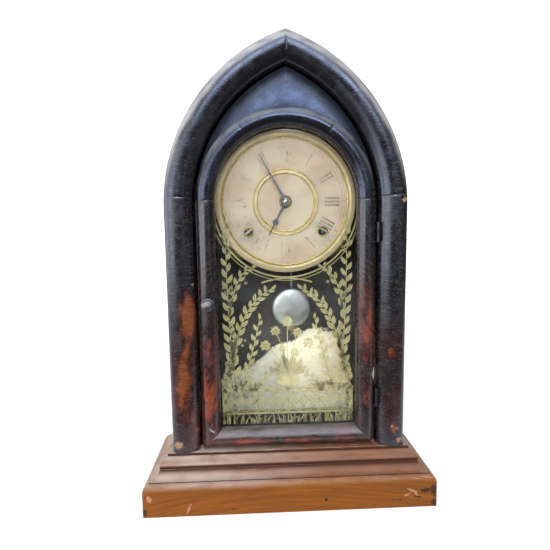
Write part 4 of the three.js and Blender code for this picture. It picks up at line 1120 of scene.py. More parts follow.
# The head board gets painted shade along its pointed outline, under the arch moulding.
HEAD_VENEER = VarnishedVeneer(
    "rosewood_veneer_head", tint="#b2caf5", ior=1.55, edge_radius=151.5, warm_top=40.0,
    warm_bottom=20.0, gloss=0.2,
)
SHELL_VENEER = VarnishedVeneer(
    "rosewood_veneer_sides", red="#4a2719", tint="#efe8e0", ior=1.5, dust="#7a7672",
    dust_amount=0.6, dust_slope=0.9, warm_top=900.0, warm_bottom=100.0,
)
EBONISED = VarnishedVeneer(
    "ebonised_knob", dark="#343434", brown="#464442", dust="#939392", tint="#e6e6e4",
    warm_top=40.0, warm_bottom=20.0, gloss=0.3,
)
MAHOGANY = WornMahogany("mahogany_worn_varnish")
# The base moulding gets painted shade on faces that look level or down.
DUSTY_MAHOGANY = WornMahogany(
    "mahogany_dusty", ground="#78431f", light="#95592c", dark="#391d12", painted_under_shade_amount=0.9,
    dust="#cabaac", dust_amount=0.72, dust_right=0.18, edge="#b5b0a8", edge_height=56.4,
    edge_reach=1.4, gloss=0.36, tint="#fff0e2",
)
PINE = OldPine("pine_aged")
GLASS = CrownGlass("window_glass_old")
GOLD = GoldTransfer("gold_transfer")
PAINT = DialPaint("dial_paint_aged")
INK = FadedInk("dial_ink_faded")
PAPER = RagPaper("rag_paper_foxed")
BEZEL_BRASS = AgedMetal(
    "brass_bezel_lacquered", bright="#d6c198", film="#b09b70", spot="#857350",
    film_amount=0.5, spot_amount=0.3, roughness=0.42, metallic=0.5,
)
RING_BRASS = AgedMetal(
    "brass_ring_bright", bright="#e6d49e", film="#c0ab72", film_amount=0.4, spot_amount=0.15,
)
CLOCK_BRASS = AgedMetal(
    "brass_plate_tarnished", bright="#b39c55", film="#7c6a38", roughness=0.36
)
STEEL = AgedMetal(
    "steel_polished_dull", bright="#8c9096", film="#5b5e62", spot="#4a3a2e", roughness=0.33
)
SPRING_STEEL = AgedMetal(
    "spring_steel_blued", bright="#5c6470", film="#3e434b", spot="#4c3a2c", roughness=0.34
)
BLACK_IRON = AgedMetal(
    "iron_blackened", bright="#46474c", film="#2c2c30", spot="#5a4434", roughness=0.42
)
HAND_STEEL = AgedMetal(
    "hand_steel_blued", bright="#6d7280", film="#4a4850", spot="#5a4a40", roughness=0.36
)
COLLAR = AgedMetal(
    "steel_collar_grey", bright="#9097a4", film="#5f6470", spot="#4c4c4c", film_amount=0.5
)
SILVERED = AgedMetal(
    "silvered_brass", bright="#b2b6b8", film="#94989a", spot="#6c6c66", film_amount=0.3,
    spot_amount=0.08, roughness=0.36,
)
WHITE_GROUND = StudioGround("studio_white")
FLAG_CLOTH = FlagCloth("flag_cloth_dark")
SIDE_CLOTH = FlagCloth("flag_cloth_grey", ground="#505054")


# Shared steps of the swept pieces


def shares_along(length: float, step: float, edge: float = 0.4) -> Array:
    """Shares of a length from 0 to 1, a step apart, and one close to each end."""
    inner = np.linspace(0, 1, max(3, round(length / step)) + 1)[1:-1]
    return np.concatenate([[0, edge / length], inner, [1 - edge / length, 1]])


def eased_ends(grid: Array, amount: float = 0.12) -> Array:
    """Draws the first and last section in towards their middle, so that a joint shows.

    Args:
        grid: rows x columns x 3.
        amount: how far each point moves.

    Returns:
        The changed grid.
    """
    result = grid.copy()
    for row in (0, -1):
        away = result[row] - result[row, :-1].mean(axis=0)
        size = np.linalg.norm(away, axis=-1, keepdims=True)
        result[row] -= away * np.minimum(amount / np.maximum(size, amount), 1.0)
    return result


def bow(steps: int) -> tuple[Array, Array]:
    """How far across a half round lies and stands out: (1 - cos pi s) / 2 and sin pi s."""
    turn = math.pi * np.linspace(0, 1, steps + 1)
    return (1 - np.cos(turn)) / 2, np.sin(turn)


def worn(
    rub: Sequence[Sequence[float]], bare: Sequence[Sequence[float]], front: float = 100.0
) -> Wear:
    """Rubbed and bare places, from rows of X, Z, width, height, tilt and level."""
    rows = {"rub": rub, "bare": bare}
    return {name: [Patch(*row, front=front) for row in rows[name]] for name in MARKS}


@dataclass
class Base:
    """Stepped base: a plinth with a rounded edge, and a cove and nose above it."""

    half_width: float = 125.0
    plane: float = -27.35
    back: float = 55.25
    inner: float = -12.0
    ledge: float = 27.9
    foot_round: float = 0.5
    plinth_top: float = 33.5
    edge_depth: float = 5.5
    edge_rise: float = 7.5
    foot: float = 22.0
    fillet_top: float = 34.3
    nose: float = 12.9
    nose_bulge: float = 0.9
    cove_top: float = 43.0
    nose_top: float = 47.2
    slope_start: float = 11.3
    slope_foot: float = 47.5
    step: float = 5.0
    step_rise: float = 53.4
    top: float = 56.8
    top_round: float = 0.4
    mitre: float = 0.1
    mitre_ease: float = 0.25
    row_step: float = 1.6
    dent: float = 0.7
    dent_slope: float = 1.6

    SCRATCHES = (
        (-106, 8, 9, 1.4, 68), (127, 18.5, 8, 1.5, -24), (121, 14, 5, 1.3, 20),
        (131, 14.5, 4, 1.3, -50), (-146, 20, 3, 5, 20),
    )
    HOLES = (
        (141, 18.7, 7, 3.0), (150, 19, 4, 8), (133, 11.5, 5, 1.3, -12), (151, 5, 5, 5),
        (112, 9, 9, 0.9, 3), (-151, 6, 4, 5), (-60, 6, 3, 1.3), (36, 12, 2.4, 2.0),
    )
    WEAR = worn(SCRATCHES, HOLES, front=-54.0)

    def plinth_section(self) -> Array:
        """Distance out and height: upright, then a quarter ellipse, then back.

        Returns:
            A closed profile of points with two coordinates.
        """
        flat_end, rise_end = self.ledge - self.edge_depth, self.plinth_top - self.edge_rise
        foot = [[self.inner, 0.0], [self.ledge - self.foot_round, 0.0]]
        face = joined(self.ledge, np.linspace(self.foot_round, rise_end, 20)[:-1])
        edge = ellipse((flat_end, rise_end), (self.edge_depth, self.edge_rise), 0, 90, 12)
        top = joined(np.linspace(flat_end, self.inner, 10)[1:], self.plinth_top)
        return closed_loop(np.concatenate([foot, face, edge, top]))

    def moulding_section(self) -> Array:
        """Distance out and height: fillet, quarter-ellipse cove, round nose, slope, fillet.

        Returns:
            A closed profile of points with two coordinates.
        """
        hollow = (self.foot - self.nose, self.cove_top - self.fillet_top)
        cove = ellipse((self.foot, self.cove_top), hollow, 270, 180, 14)
        half, bulge = (self.nose_top - self.cove_top) / 2, self.nose_bulge
        nose = ellipse((self.nose - bulge, self.cove_top + half), (bulge, half), -90, 90, 10)
        s = np.linspace(0, 1, 9)[1:]
        slope = joined(
            self.slope_start + (self.step - self.slope_start) * s,
            self.slope_foot + (self.step_rise - self.slope_foot) * np.sin(s * QUARTER_TURN),
        )
        foot = [[self.inner, self.plinth_top], [self.foot, self.plinth_top]]
        tip = [
            [self.step, self.top - self.top_round],
            [self.step - self.top_round, self.top],
            [self.inner, self.top],
        ]
        return closed_loop(np.concatenate([foot, cove, nose, slope, tip]))

    def front_grid(self, section: Array) -> Array:
        """Carries a section along X, mitred: x = t (half width + out), y = plane - out.

        Args:
            section: distance out and height.

        Returns:
            A grid of points, path by section.
        """
        out, height = as_rows(section)
        t = 2 * shares_along(2 * (self.half_width + self.ledge), self.row_step)[:, None] - 1
        x = t * (self.half_width + out - self.mitre)
        grid = joined(x, self.plane - out, height)
        for spot in self.WEAR["bare"]:
            depth = smooth_step(self.dent_slope * spot.strength(grid.reshape(-1, 3)))
            grid[..., 1] += self.dent * depth.reshape(x.shape) * (out > 0)
        return eased_ends(grid, self.mitre_ease)

    def side_grid(self, section: Array, side: Side) -> Array:
        """Carries a section along Y from the mitre: y runs from plane - out to the back.

        Args:
            section: distance out and height.
            side: which side.

        Returns:
            A grid of points, path by section.
        """
        out, height = as_rows(section)
        t = shares_along(self.back - self.plane, self.row_step)[:, None]
        start = self.plane - out + self.mitre
        depth = start + t * (self.back - start)
        grid = joined(side.value * (self.half_width + out), depth, height)
        return eased_ends(grid, self.mitre_ease)

    def build(self) -> None:
        """Makes the three plinth boards, the three mouldings and dresses the floor board."""
        for name, section, finish in (
            ("plinth", self.plinth_section(), MAHOGANY),
            ("base_moulding", self.moulding_section(), DUSTY_MAHOGANY),
        ):
            sides = [(side.word, self.side_grid(section, side)) for side in Side]
            for place, grid in [("front", self.front_grid(section)), *sides]:
                board = Piece(f"{name}_{place}_board").grid(grid)
                board.make("case", "mahogany", finish, [f"{name}_{place}"], self.WEAR)
        dress(["base_board"], PINE)


@dataclass
class Case:
    """Bent veneered shell with half-round mouldings, and what is fixed inside it."""

    inner: float = 113.0
    outer: float = 125.0
    shell_front: float = -13.2
    shell_back: float = 55.25
    shell_round: float = 0.6
    moulding_inner: float = 96.2
    moulding_width: float = 28.8
    front: float = -27.35
    recess: float = 4.0
    rise: float = 8.5
    moulding_back: float = -13.35
    joint: float = 0.0684
    joint_edge: float = 0.0022
    joint_upper: float = 0.0692
    arch_length: float = 200.0
    row_step: float = 2.5
    label_half_width: float = 78.0
    label_bottom: float = 66.0
    label_height: float = 104.0
    label_plane: float = 49.15
    label_front: float = 0.15
    label_back: float = 0.08
    label_lift: float = 2.4

    RUBBED = (
        (-104, 204, 13, 34, 0, 1.2), (-106, 168, 11, 24, 0, 0.7), (-111, 133, 14, 48, 0, 0.9),
        (-103, 98, 6, 14, 0, 0.7), (-98.5, 80, 5, 6, 20), (108, 161, 10, 12, 0, 0.45),
        (113, 76, 8, 12, 0, 0.6),
    )
    CHIPS = (
        (-118, 66, 7, 5.5, 0, 0.8), (119, 63.5, 6, 3.4, 0, 0.8), (111, 80, 1.6, 2.4),
        (113, 73, 2.0, 1.6), (117, 77, 1.6, 1.8), (121, 321, 5, 3.4, 0, 0.9),
        (-98.5, 237, 1.4, 2.0),
    )
    WEAR = worn(RUBBED, CHIPS)
    TEAR_PLACE_SHARES = (-1, -0.72, -0.4, -0.12, 0.16, 0.4, 0.74, 0.93, 1)
    TEAR_HEIGHT_SHARES = (0.36, 0.5, 0.62, 0.8, 0.86, 1.0, 0.97, 0.8, 0.3)

    def moulding_section(self) -> Rows:
        """Distance and depth of the half-round, whose inner edge lies deeper.

        Returns:
            Two rows.
        """
        across, out = bow(40)
        distance = self.moulding_inner + self.moulding_width * across
        depth = self.front + self.recess * (1 - across) - self.rise * out
        tail = [[self.outer, self.moulding_back], [self.moulding_inner, self.moulding_back]]
        return as_rows(closed_loop(np.concatenate([joined(distance, depth), tail])))

    def bent(self, side: Side, section: Rows, share: Array, angle: Array) -> Array:
        """Carries a section up by shares of the upright, and then round the arc by angles.

        Args:
            side: which half.
            section: distance and depth.
            share: places on the upright.
            angle: places on the arc.

        Returns:
            A grid of points, path by section.
        """
        distance, depth = section
        height = ARCH.bottom + share[:, None] * (ARCH.spring - ARCH.bottom)
        upright = joined(side.value * distance, depth, height)
        return np.concatenate([upright, ARCH.arc(side, distance, depth, angle)])

    def side_moulding(self, side: Side) -> Array:
        """The upright half-round, up to its joint a little above the spring.

        Args:
            side: which half.

        Returns:
            A grid of points, path by section.
        """
        share = shares_along(ARCH.spring - ARCH.bottom, self.row_step)[:-2]
        turn = np.linspace(0, self.joint - self.joint_edge, 6)
        angle = np.append(turn, self.joint)[:, None]
        return eased_ends(self.bent(side, self.moulding_section(), share, angle))

    def arch_moulding(self, side: Side) -> Array:
        """The bent half-round, from the joint to the mitre at the apex.

        Args:
            side: which half.

        Returns:
            A grid of points, path by section.
        """
        distance, depth = self.moulding_section()
        start = self.joint_upper
        t = shares_along(self.arch_length, self.row_step)[:, None]
        angle = start + t * (ARCH.apex(distance) - start)
        return eased_ends(ARCH.arc(side, distance, depth, angle))

    def shell(self, side: Side) -> Array:
        """The bent case wall, a board with its outer back edge taken off.

        Args:
            side: which half.

        Returns:
            A grid of points, path by section.
        """
        outline = np.array([
            [self.inner, self.shell_front],
            [self.outer, self.shell_front],
            [self.outer, self.shell_back - self.shell_round],
            [self.outer - self.shell_round, self.shell_back],
            [self.inner, self.shell_back],
        ])
        section = as_rows(closed_loop(outline))
        angle = np.linspace(0, 1, 90)[:, None] * ARCH.apex(section[0])
        return self.bent(side, section, np.linspace(0, 1, 60)[:-1], angle)

    def label(self) -> Array:
        """A torn sheet: each column runs up to the torn edge, and the edges curl forward.

        Returns:
            A grid whose rows run round the sheet at one share of its height.
        """
        across = np.linspace(-1, 1, 121)
        edge = np.interp(across, self.TEAR_PLACE_SHARES, self.TEAR_HEIGHT_SHARES)
        ragged = np.random.default_rng(7).normal(0, 0.012, across.size)
        t = np.linspace(0, 1, 60)[:, None]
        z = self.label_bottom + t * np.clip(edge + ragged, 0.2, 1.0) * self.label_height
        lift = smooth_step((t - 0.72) / 0.28) * (1.3 + 0.9 * np.sin(across * 9))
        lift = lift + smooth_step((np.abs(across) - 0.93) / 0.07) * 0.8
        plane = self.label_plane - np.minimum(lift, self.label_lift)
        x = across * self.label_half_width
        front, back = joined(x, plane - self.label_front, z), joined(x, plane + self.label_back, z)
        return np.concatenate([front, back[:, ::-1], front[:, :1]], axis=1)

    def build(self) -> None:
        """Makes the shell, the mouldings and the label, and dresses the boards."""
        for side in Side:
            upright = VENEER if side is Side.LEFT else RIGHT_VENEER
            low, high, marks = self.side_moulding(side), self.arch_moulding(side), self.WEAR
            for name, grid, finish, node, wear in (
                ("case_side_and_arch", self.shell(side), SHELL_VENEER, "case_shell", None),
                ("upright_half_round", low, upright, "side_moulding", marks),
                ("arch_half_round", high, ARCH_VENEER, "arch_moulding", marks),
            ):
                part = Piece(f"{name}_{side.word}").grid(grid)
                part.make("case", "rosewood_veneer", finish, [f"{node}_{side.word}"], wear)
        Piece("torn_label").grid(self.label()).make("case", "paper", PAPER, ["paper_label"])
        dress(["backboard", "dial_block_left", "dial_block_right"], PINE)


@dataclass
class Door:
    """Glazed door: half-round stiles and rail, a head board, and an arched half-round."""

    inner: float = 73.8
    moulding_width: float = 19.0
    outer: float = 93.5
    rabbet: float = 78.0
    face: float = -23.35
    face_round: float = 0.4
    back: float = -13.35
    rabbet_plane: float = -18.3
    rise: float = 8.5
    bottom: float = 58.0
    stile_top: float = 322.5
    mitre: float = 0.1
    lancet_radius: float = 151.5
    ring_middle: float = 83.3
    ring_half_width: float = 9.5
    ring_seat: float = -23.5
    ring_rise: float = 8.35
    ring_joint: float = 33.0
    ring_gap: float = 0.05
    knob: tuple[float, float] = (-83.3, 215.31)
    knob_seat: float = -32.0
    knob_tip: float = -45.0
    knob_radius: float = 5.6
    knob_half_length: float = 4.2
    neck_radius: float = 2.6
    neck_end: float = -33.9
    shaft_radius: float = 2.0
    shaft_start: float = -33.2
    shaft_end: float = -13.2
    row_step: float = 2.5

    BEADS = ((4.0, 1.2, 1.75), (6.1, 0.9, 1.2))
    RUBBED = (
        (-84, 112, 12, 48, 0, 0.8), (-85, 165, 9, 22, 0, 0.5), (84, 190, 10, 60, 0, 0.5),
        (84, 115, 9, 30, 0, 0.4), (-45, 66, 34, 7, 0, 0.7), (15, 66, 30, 6, 0, 0.6),
    )
    CHIPS = ((92.6, 136, 3.4, 9.0), (91, 61, 2.5, 1.2, 45), (-82, 79.5, 6, 1.4, -35))
    WEAR = worn(RUBBED, CHIPS)

    def section(self) -> Rows:
        """Distance and depth of stile and rail: half-round, square edge and rabbet.

        Returns:
            Two rows.
        """
        across, out = bow(36)
        distance = self.inner + self.moulding_width * across[::-1]
        curve = joined(distance, self.face - self.rise * out)
        head = [[self.rabbet, self.back], [self.outer, self.back], [self.outer, self.face]]
        tail = [[self.inner, self.rabbet_plane], [self.rabbet, self.rabbet_plane]]
        return as_rows(closed_loop(np.concatenate([head, curve, tail])))

    def stile(self, side: Side) -> Array:
        """Upright half-round from the mitre at its foot to the head board.

        Args:
            side: which side.

        Returns:
            A grid of points, path by section.
        """
        distance, depth = self.section()
        t = shares_along(self.stile_top - self.bottom, self.row_step)[:, None]
        start = self.bottom + self.outer - distance + self.mitre
        height = start + t * (self.stile_top - start)
        return eased_ends(joined(side.value * distance, depth, height))

    def rail(self) -> Array:
        """Level half-round between the two mitres: x = t (distance - gap).

        Returns:
            A grid of points, path by section.
        """
        distance, depth = self.section()
        t = 2 * shares_along(2 * self.outer, self.row_step)[:, None] - 1
        height = self.bottom + self.outer - distance
        return eased_ends(joined(t * (distance - self.mitre), depth, height))

    def lancet_reach(self, angle: Array) -> Array:
        """Distance from the ring's centre to the pointed outline in each direction.

        The outline's point r solves r^2 + 2 b r + c = 0, with
        b = offset |cos a| + (ring height - spring) sin a.

        Args:
            angle: directions in radians.

        Returns:
            One distance for each.
        """
        lift = self.stile_top - ARCH.spring
        b = ARCH.offset * np.abs(np.cos(angle)) + lift * np.sin(angle)
        c = ARCH.offset**2 + lift**2 - self.lancet_radius**2
        return -b + np.sqrt(b * b - c)

    def head_board(self) -> Array:
        """The flat board between the round opening and the pointed outline.

        Returns:
            A grid of points, path by section.
        """
        angle = np.linspace(0, math.pi, 181)[:, None]
        share = np.array([0, 0, 0.02, 0.5, 0.98, 1.0, 1.0])
        radius = self.inner + (self.lancet_reach(angle) - self.inner) * share
        radius = np.append(radius, np.full((len(angle), 2), self.rabbet), axis=1)
        edge, face = self.face + self.face_round, self.face
        front = [self.rabbet_plane, edge, face, face, face, edge]
        depth = np.array([*front, self.back, self.back, self.rabbet_plane])
        return closed_tube(about_axis(0, self.stile_top, radius, depth, angle))

    def ring_part(self, start: float, end: float) -> Array:
        """One bent length of the half-round about the opening, between two angles.

        Args:
            start: the first angle in degrees.
            end: the last angle.

        Returns:
            A grid of points, path by section.
        """
        across, out = bow(32)
        radius = self.ring_middle - self.ring_half_width + 2 * self.ring_half_width * across
        depth = self.ring_seat - self.ring_rise * out
        t = shares_along(math.radians(end - start) * self.ring_middle, self.row_step)[:, None]
        angle = np.radians(start + t * (end - start))
        return eased_ends(closed_tube(about_axis(0, self.stile_top, radius, depth, angle)))

    def knob_profile(self) -> Array:
        """Radius and depth of the turned knob, from the tip to the end of its shaft.

        Returns:
            Points with two coordinates, both ends on the axis.
        """
        half = self.knob_half_length
        ball = ellipse((0, self.knob_tip + half), (self.knob_radius, half), -90, 90, 24)[:-4]
        s = np.linspace(0, 1, 9)[1:]
        radius, depth = ball[-1]
        neck = joined(
            radius + (self.neck_radius - radius) * np.sin(s * QUARTER_TURN),
            depth + (self.neck_end - depth) * s,
        )
        ends = [(self.shaft_radius, self.shaft_start), (self.shaft_radius, self.shaft_end)]
        return np.concatenate([ball, neck, ends, [(0, self.shaft_end)]])

    def rosette_profile(self) -> Array:
        """Radius and depth of the turned seat under the knob: two half-round beads.

        Returns:
            A closed profile of points with two coordinates.
        """
        seat = self.knob_seat
        beads = [ellipse((x, seat), (half, rise), 180, 360, 8) for x, half, rise in self.BEADS]
        return closed_loop(np.concatenate(beads))

    def build(self) -> None:
        """Makes the wooden parts and the knob, and dresses glass, catch and hinges."""
        bars = [(f"stile_half_round_{s.word}", self.stile(s), f"stile_{s.word}") for s in Side]
        for name, grid, node in [*bars, ("rail_half_round", self.rail(), "rail")]:
            bar = Piece(name).grid(grid)
            bar.make("door", "rosewood_veneer", DOOR_VENEER, [f"door_{node}"], self.WEAR)
        board = Piece("pointed_head_board").grid(self.head_board())
        board.make("door", "rosewood_veneer", HEAD_VENEER, ["door_head"])
        ring = Piece("arched_half_round")
        joints = (0.0, 90 - self.ring_joint, 90 + self.ring_joint, 180.0)
        for start, end in zip(joints, joints[1:]):
            ring.grid(self.ring_part(start + self.ring_gap, end - self.ring_gap))
        ring.make("door", "rosewood_veneer", RING_VENEER, ["door_arch_moulding"])
        for name, profile, body, nodes in (
            ("turned_knob", self.knob_profile(), "latch", ["door_knob"]),
            ("knob_rosette", self.rosette_profile(), "door", []),
        ):
            turned(name, profile, self.knob, 48, body, "ebonised", EBONISED, nodes)
        dress(["door_glass"], GLASS)
        dress(["door_catch"], CLOCK_BRASS)
        leaves = [f"{leaf}_leaf_{end}" for leaf in ("case", "door") for end in ("upper", "lower")]
        dress([f"hinge_{leaf}" for leaf in leaves], BLACK_IRON)


@dataclass
class GlassOrnament:
    """Print on the back of the glass in old gold: laurel, a bowl of daisies, a trellis."""

    front: float = -16.10
    back: float = -16.02
    bottom: float = 79.2
    trellis_low: float = 91.0
    trellis_top: float = 118.0
    half_width: float = 72.5
    post_reach: float = 69.6
    bay: float = 11.6
    bowl_height: float = 15.0

    RINGS = ((317.7, 76.2, 186, 354, 140, 0.75), (317.7, 79.6, 200, 340, 120, 0.35),
             (157.0, 83.4, 71, 109, 30, 0.8))
    SPRAYS = (
        (((56, 112), (66, 196), (64, 306)), 31, 14.5, 5.6),
        (((60, 150), (50, 214), (17, 229)), 19, 12.5, 4.8),
        (((52, 112), (40, 150), (30, 196)), 15, 12.0, 4.6),
        (((62, 200), (56, 246), (38, 252)), 11, 11.0, 4.4),
        (((44, 112), (30, 128), (12, 142)), 11, 9.5, 3.8),
        (((70, 118), (64, 140), (57, 168)), 13, 10.5, 4.4),
        (((70, 119), (46, 127), (26, 121)), 15, 8.5, 3.8),
    )
    BERRIES = ((49, 168), (46, 173), (52, 175), (44, 236), (48, 240), (66, 226), (68, 231))
    DAISIES = ((-24, 34, 6.0), (-13, 50, 5.6), (0, 60, 6.4), (11, 48, 5.4), (23, 36, 6.2),
               (-5, 30, 4.6), (8, 26, 4.6))

    def add(self, piece: Piece, paths: Array, half_widths: Array | float) -> None:
        """Adds strokes at the depth of the print, all with one width where that is a number."""
        widths = np.broadcast_to(half_widths, paths.shape[:2])
        piece.strokes(paths, widths, self.front, self.back)

    def leaves(self, piece: Piece, base: Array, angle: Array, length: Array, width: Array) -> None:
        """Adds two half leaves on each base point, with a bare vein between them.

        The middle line bends a little: base + length t (cos, sin)(angle + bend t), and each
        half stands off it by half of its own width.

        Args:
            piece: the piece that they join.
            base: leaves x 2.
            angle: direction of each leaf in radians.
            length: length of each leaf.
            width: full width of each leaf.
        """
        t = np.linspace(0, 1, 11)[None, :]
        direction = angle[:, None] + 0.28 * np.sign(np.cos(angle))[:, None] * t
        way = joined(np.cos(direction), np.sin(direction))
        middle = base[:, None, :] + (length[:, None] * t)[..., None] * way
        normal = joined(-way[..., 1], way[..., 0])
        full = width[:, None] * np.sin(math.pi * t**0.85) ** 0.9 / 2
        for sign in (-1, 1):
            paths = middle + sign * normal * (full / 2 + 0.13)[..., None]
            self.add(piece, paths, np.maximum(full / 2, 0.03))

    def curve(self, ends: Sequence[Sequence[float]], t: Array) -> tuple[Array, Array]:
        """A stem: (1 - t)^2 start + 2 t (1 - t) control + t^2 end, and its bearing.

        Args:
            ends: start, control point and end.
            t: shares of the way.

        Returns:
            Points x 2, and an angle in radians for each.
        """
        start, control, end = np.array(ends, float)
        t = t[:, None]
        place = (1 - t) ** 2 * start + 2 * t * (1 - t) * control + t**2 * end
        slope = 2 * (1 - t) * (control - start) + 2 * t * (end - control)
        return place, np.arctan2(slope[:, 1], slope[:, 0])

    def spray(
        self,
        piece: Piece,
        ends: Sequence[Sequence[float]],
        count: int,
        length: float,
        width: float,
        rng: np.random.Generator,
    ) -> None:
        """Adds a curved stem with leaves on both sides that get smaller towards its tip.

        Args:
            piece: the piece that it joins.
            ends: start, control point and end of the stem.
            count: the number of leaves.
            length: length of the lowest leaves.
            width: width of the lowest leaves.
            rng: the source of the small differences.
        """
        stem, _ = self.curve(ends, np.linspace(0, 1, 40))
        self.add(piece, stem[None], np.linspace(0.85, 0.3, 40)[None])
        place = np.linspace(0.1, 1.0, count)
        base, bearing = self.curve(ends, place)
        way = np.where(np.arange(count) % 2 == 0, 1.0, -1.0)
        way[-1] = 0.0
        angle = bearing + way * (0.78 + rng.normal(0, 0.1, count))
        size = 1.0 - 0.42 * place + rng.normal(0, 0.04, count)
        self.leaves(piece, base, angle, length * size, width * size)

    def daisy(self, piece: Piece, place: Sequence[float], size: float, petals: int) -> None:
        """Adds a flower: petals all round and a round eye.

        Args:
            piece: the piece that it joins.
            place: its middle.
            size: its radius.
            petals: how many petals it has.
        """
        angle = np.linspace(0, 2 * math.pi, petals + 1)[:-1] + 0.2
        base = np.array(place) + 0.3 * size * joined(np.cos(angle), np.sin(angle))
        self.leaves(piece, base, angle, np.full(petals, 0.75 * size), np.full(petals, 0.42 * size))
        turn = np.linspace(-1, 1, 9)
        eye = joined(place[0] + 0.24 * size * turn, place[1])
        self.add(piece, eye[None], 0.24 * size * np.sqrt(1.0001 - turn**2)[None])

    def sprays(self, piece: Piece, rng: np.random.Generator) -> None:
        """Adds the laurel sprays of both sides and their berries.

        Args:
            piece: the piece that they join.
            rng: the source of the small differences.
        """
        for side in Side:
            for ends, *sizes in self.SPRAYS:
                self.spray(piece, [(side.value * x, z) for x, z in ends], *sizes, rng)
            for x, z in self.BERRIES:
                self.daisy(piece, (side.value * x, z), 1.9, 5)

    def bowl(self, piece: Piece) -> None:
        """Adds a low footed bowl on the trellis with stems of daisies that rise from it.

        Args:
            piece: the piece that it joins.
        """
        t = np.linspace(0, 1, 41)
        foot = 5.2 * np.exp(-((t / 0.12) ** 2))
        cup = 13.0 * np.sin(math.pi * np.clip((t - 0.18) / 0.78, 0, 1)) ** 0.6
        lip = 11.5 * np.exp(-(((t - 0.97) / 0.06) ** 2))
        path = joined(0, self.trellis_top + self.bowl_height * t)
        self.add(piece, path[None], np.maximum(foot + cup + lip, 1.6)[None])
        top = self.trellis_top + self.bowl_height
        for reach, height, size in self.DAISIES:
            tip = (reach, top + height)
            ends = ((reach * 0.1, top), (reach * 0.25, top + height * 0.6), tip)
            self.add(piece, self.curve(ends, np.linspace(0, 1, 24))[0][None], 0.42)
            self.daisy(piece, tip, size, 8)
        angle = np.radians([12, 38, 64, 90, 116, 142, 168])
        base = joined(5 * np.cos(angle), top + 1.5 + 2 * np.sin(angle))
        self.leaves(piece, base, angle, 17 + 5 * np.sin(angle), np.full(angle.size, 6.0))

    def trellis(self, piece: Piece) -> None:
        """Adds two rails, posts, crossed laths and a small rosette in each gap.

        Args:
            piece: the piece that they join.
        """
        low, top, reach = self.trellis_low, self.trellis_top, self.post_reach
        middle = (low + top) / 2
        ends = np.linspace(-self.half_width, self.half_width, 3)
        for height, thick in ((low, 1.1), (low + 2.6, 0.35), (top - 2.8, 0.35), (top, 1.5)):
            self.add(piece, joined(ends, height)[None], thick)
        for share, thick in ((-1, 2.4), (-0.5, 0.9), (0, 0.9), (0.5, 0.9), (1, 2.4)):
            self.add(piece, joined(share * reach, [low, middle, top])[None], thick)
        left = np.arange(-reach, 60, self.bay)
        for start, end in ((low, middle), (middle, low), (middle, top), (top, middle)):
            across = left[:, None] + self.bay * np.array([0, 0.5, 1])
            self.add(piece, joined(across, np.linspace(start, end, 3)), 0.5)
        for x in left + self.bay / 2:
            self.daisy(piece, (x, middle), 4.6, 6)

    def grass(self, piece: Piece, rng: np.random.Generator) -> None:
        """Adds blades that taper and fall to one side, along the foot of the trellis.

        Args:
            piece: the piece that it joins.
            rng: the source of sizes and places.
        """
        count = 110
        root = rng.uniform(-self.half_width, self.half_width, count)
        height = rng.uniform(6, 15, count) + 8 * (np.abs(root) / 70) ** 4
        fall = np.clip(root + rng.normal(0, 4, count), -72, 72) - root
        t = np.linspace(0, 1, 9)[None, :]
        x = root[:, None] + fall[:, None] * t**2
        z = self.bottom + height[:, None] * (t - 0.15 * t**3)
        half = 0.03 + (0.5 + rng.uniform(0, 0.3, count))[:, None] * (1 - t) ** 0.7
        self.add(piece, joined(x, z), half)

    def rings(self, piece: Piece) -> None:
        """Adds two lines round the lower half of the dial and a shallow arc under them.

        Args:
            piece: the piece that they join.
        """
        for height, radius, start, end, steps, half in self.RINGS:
            line = ellipse((0, height), (radius, radius), start, end, steps)
            self.add(piece, line[None], half)

    def build(self) -> None:
        """Makes the whole print as one piece on the door."""
        rng = np.random.default_rng(11)
        piece = Piece("glass_gold_print")
        self.rings(piece)
        self.trellis(piece)
        self.sprays(piece, rng)
        self.bowl(piece)
        self.grass(piece, rng)
        piece.make("door", "brass", GOLD)


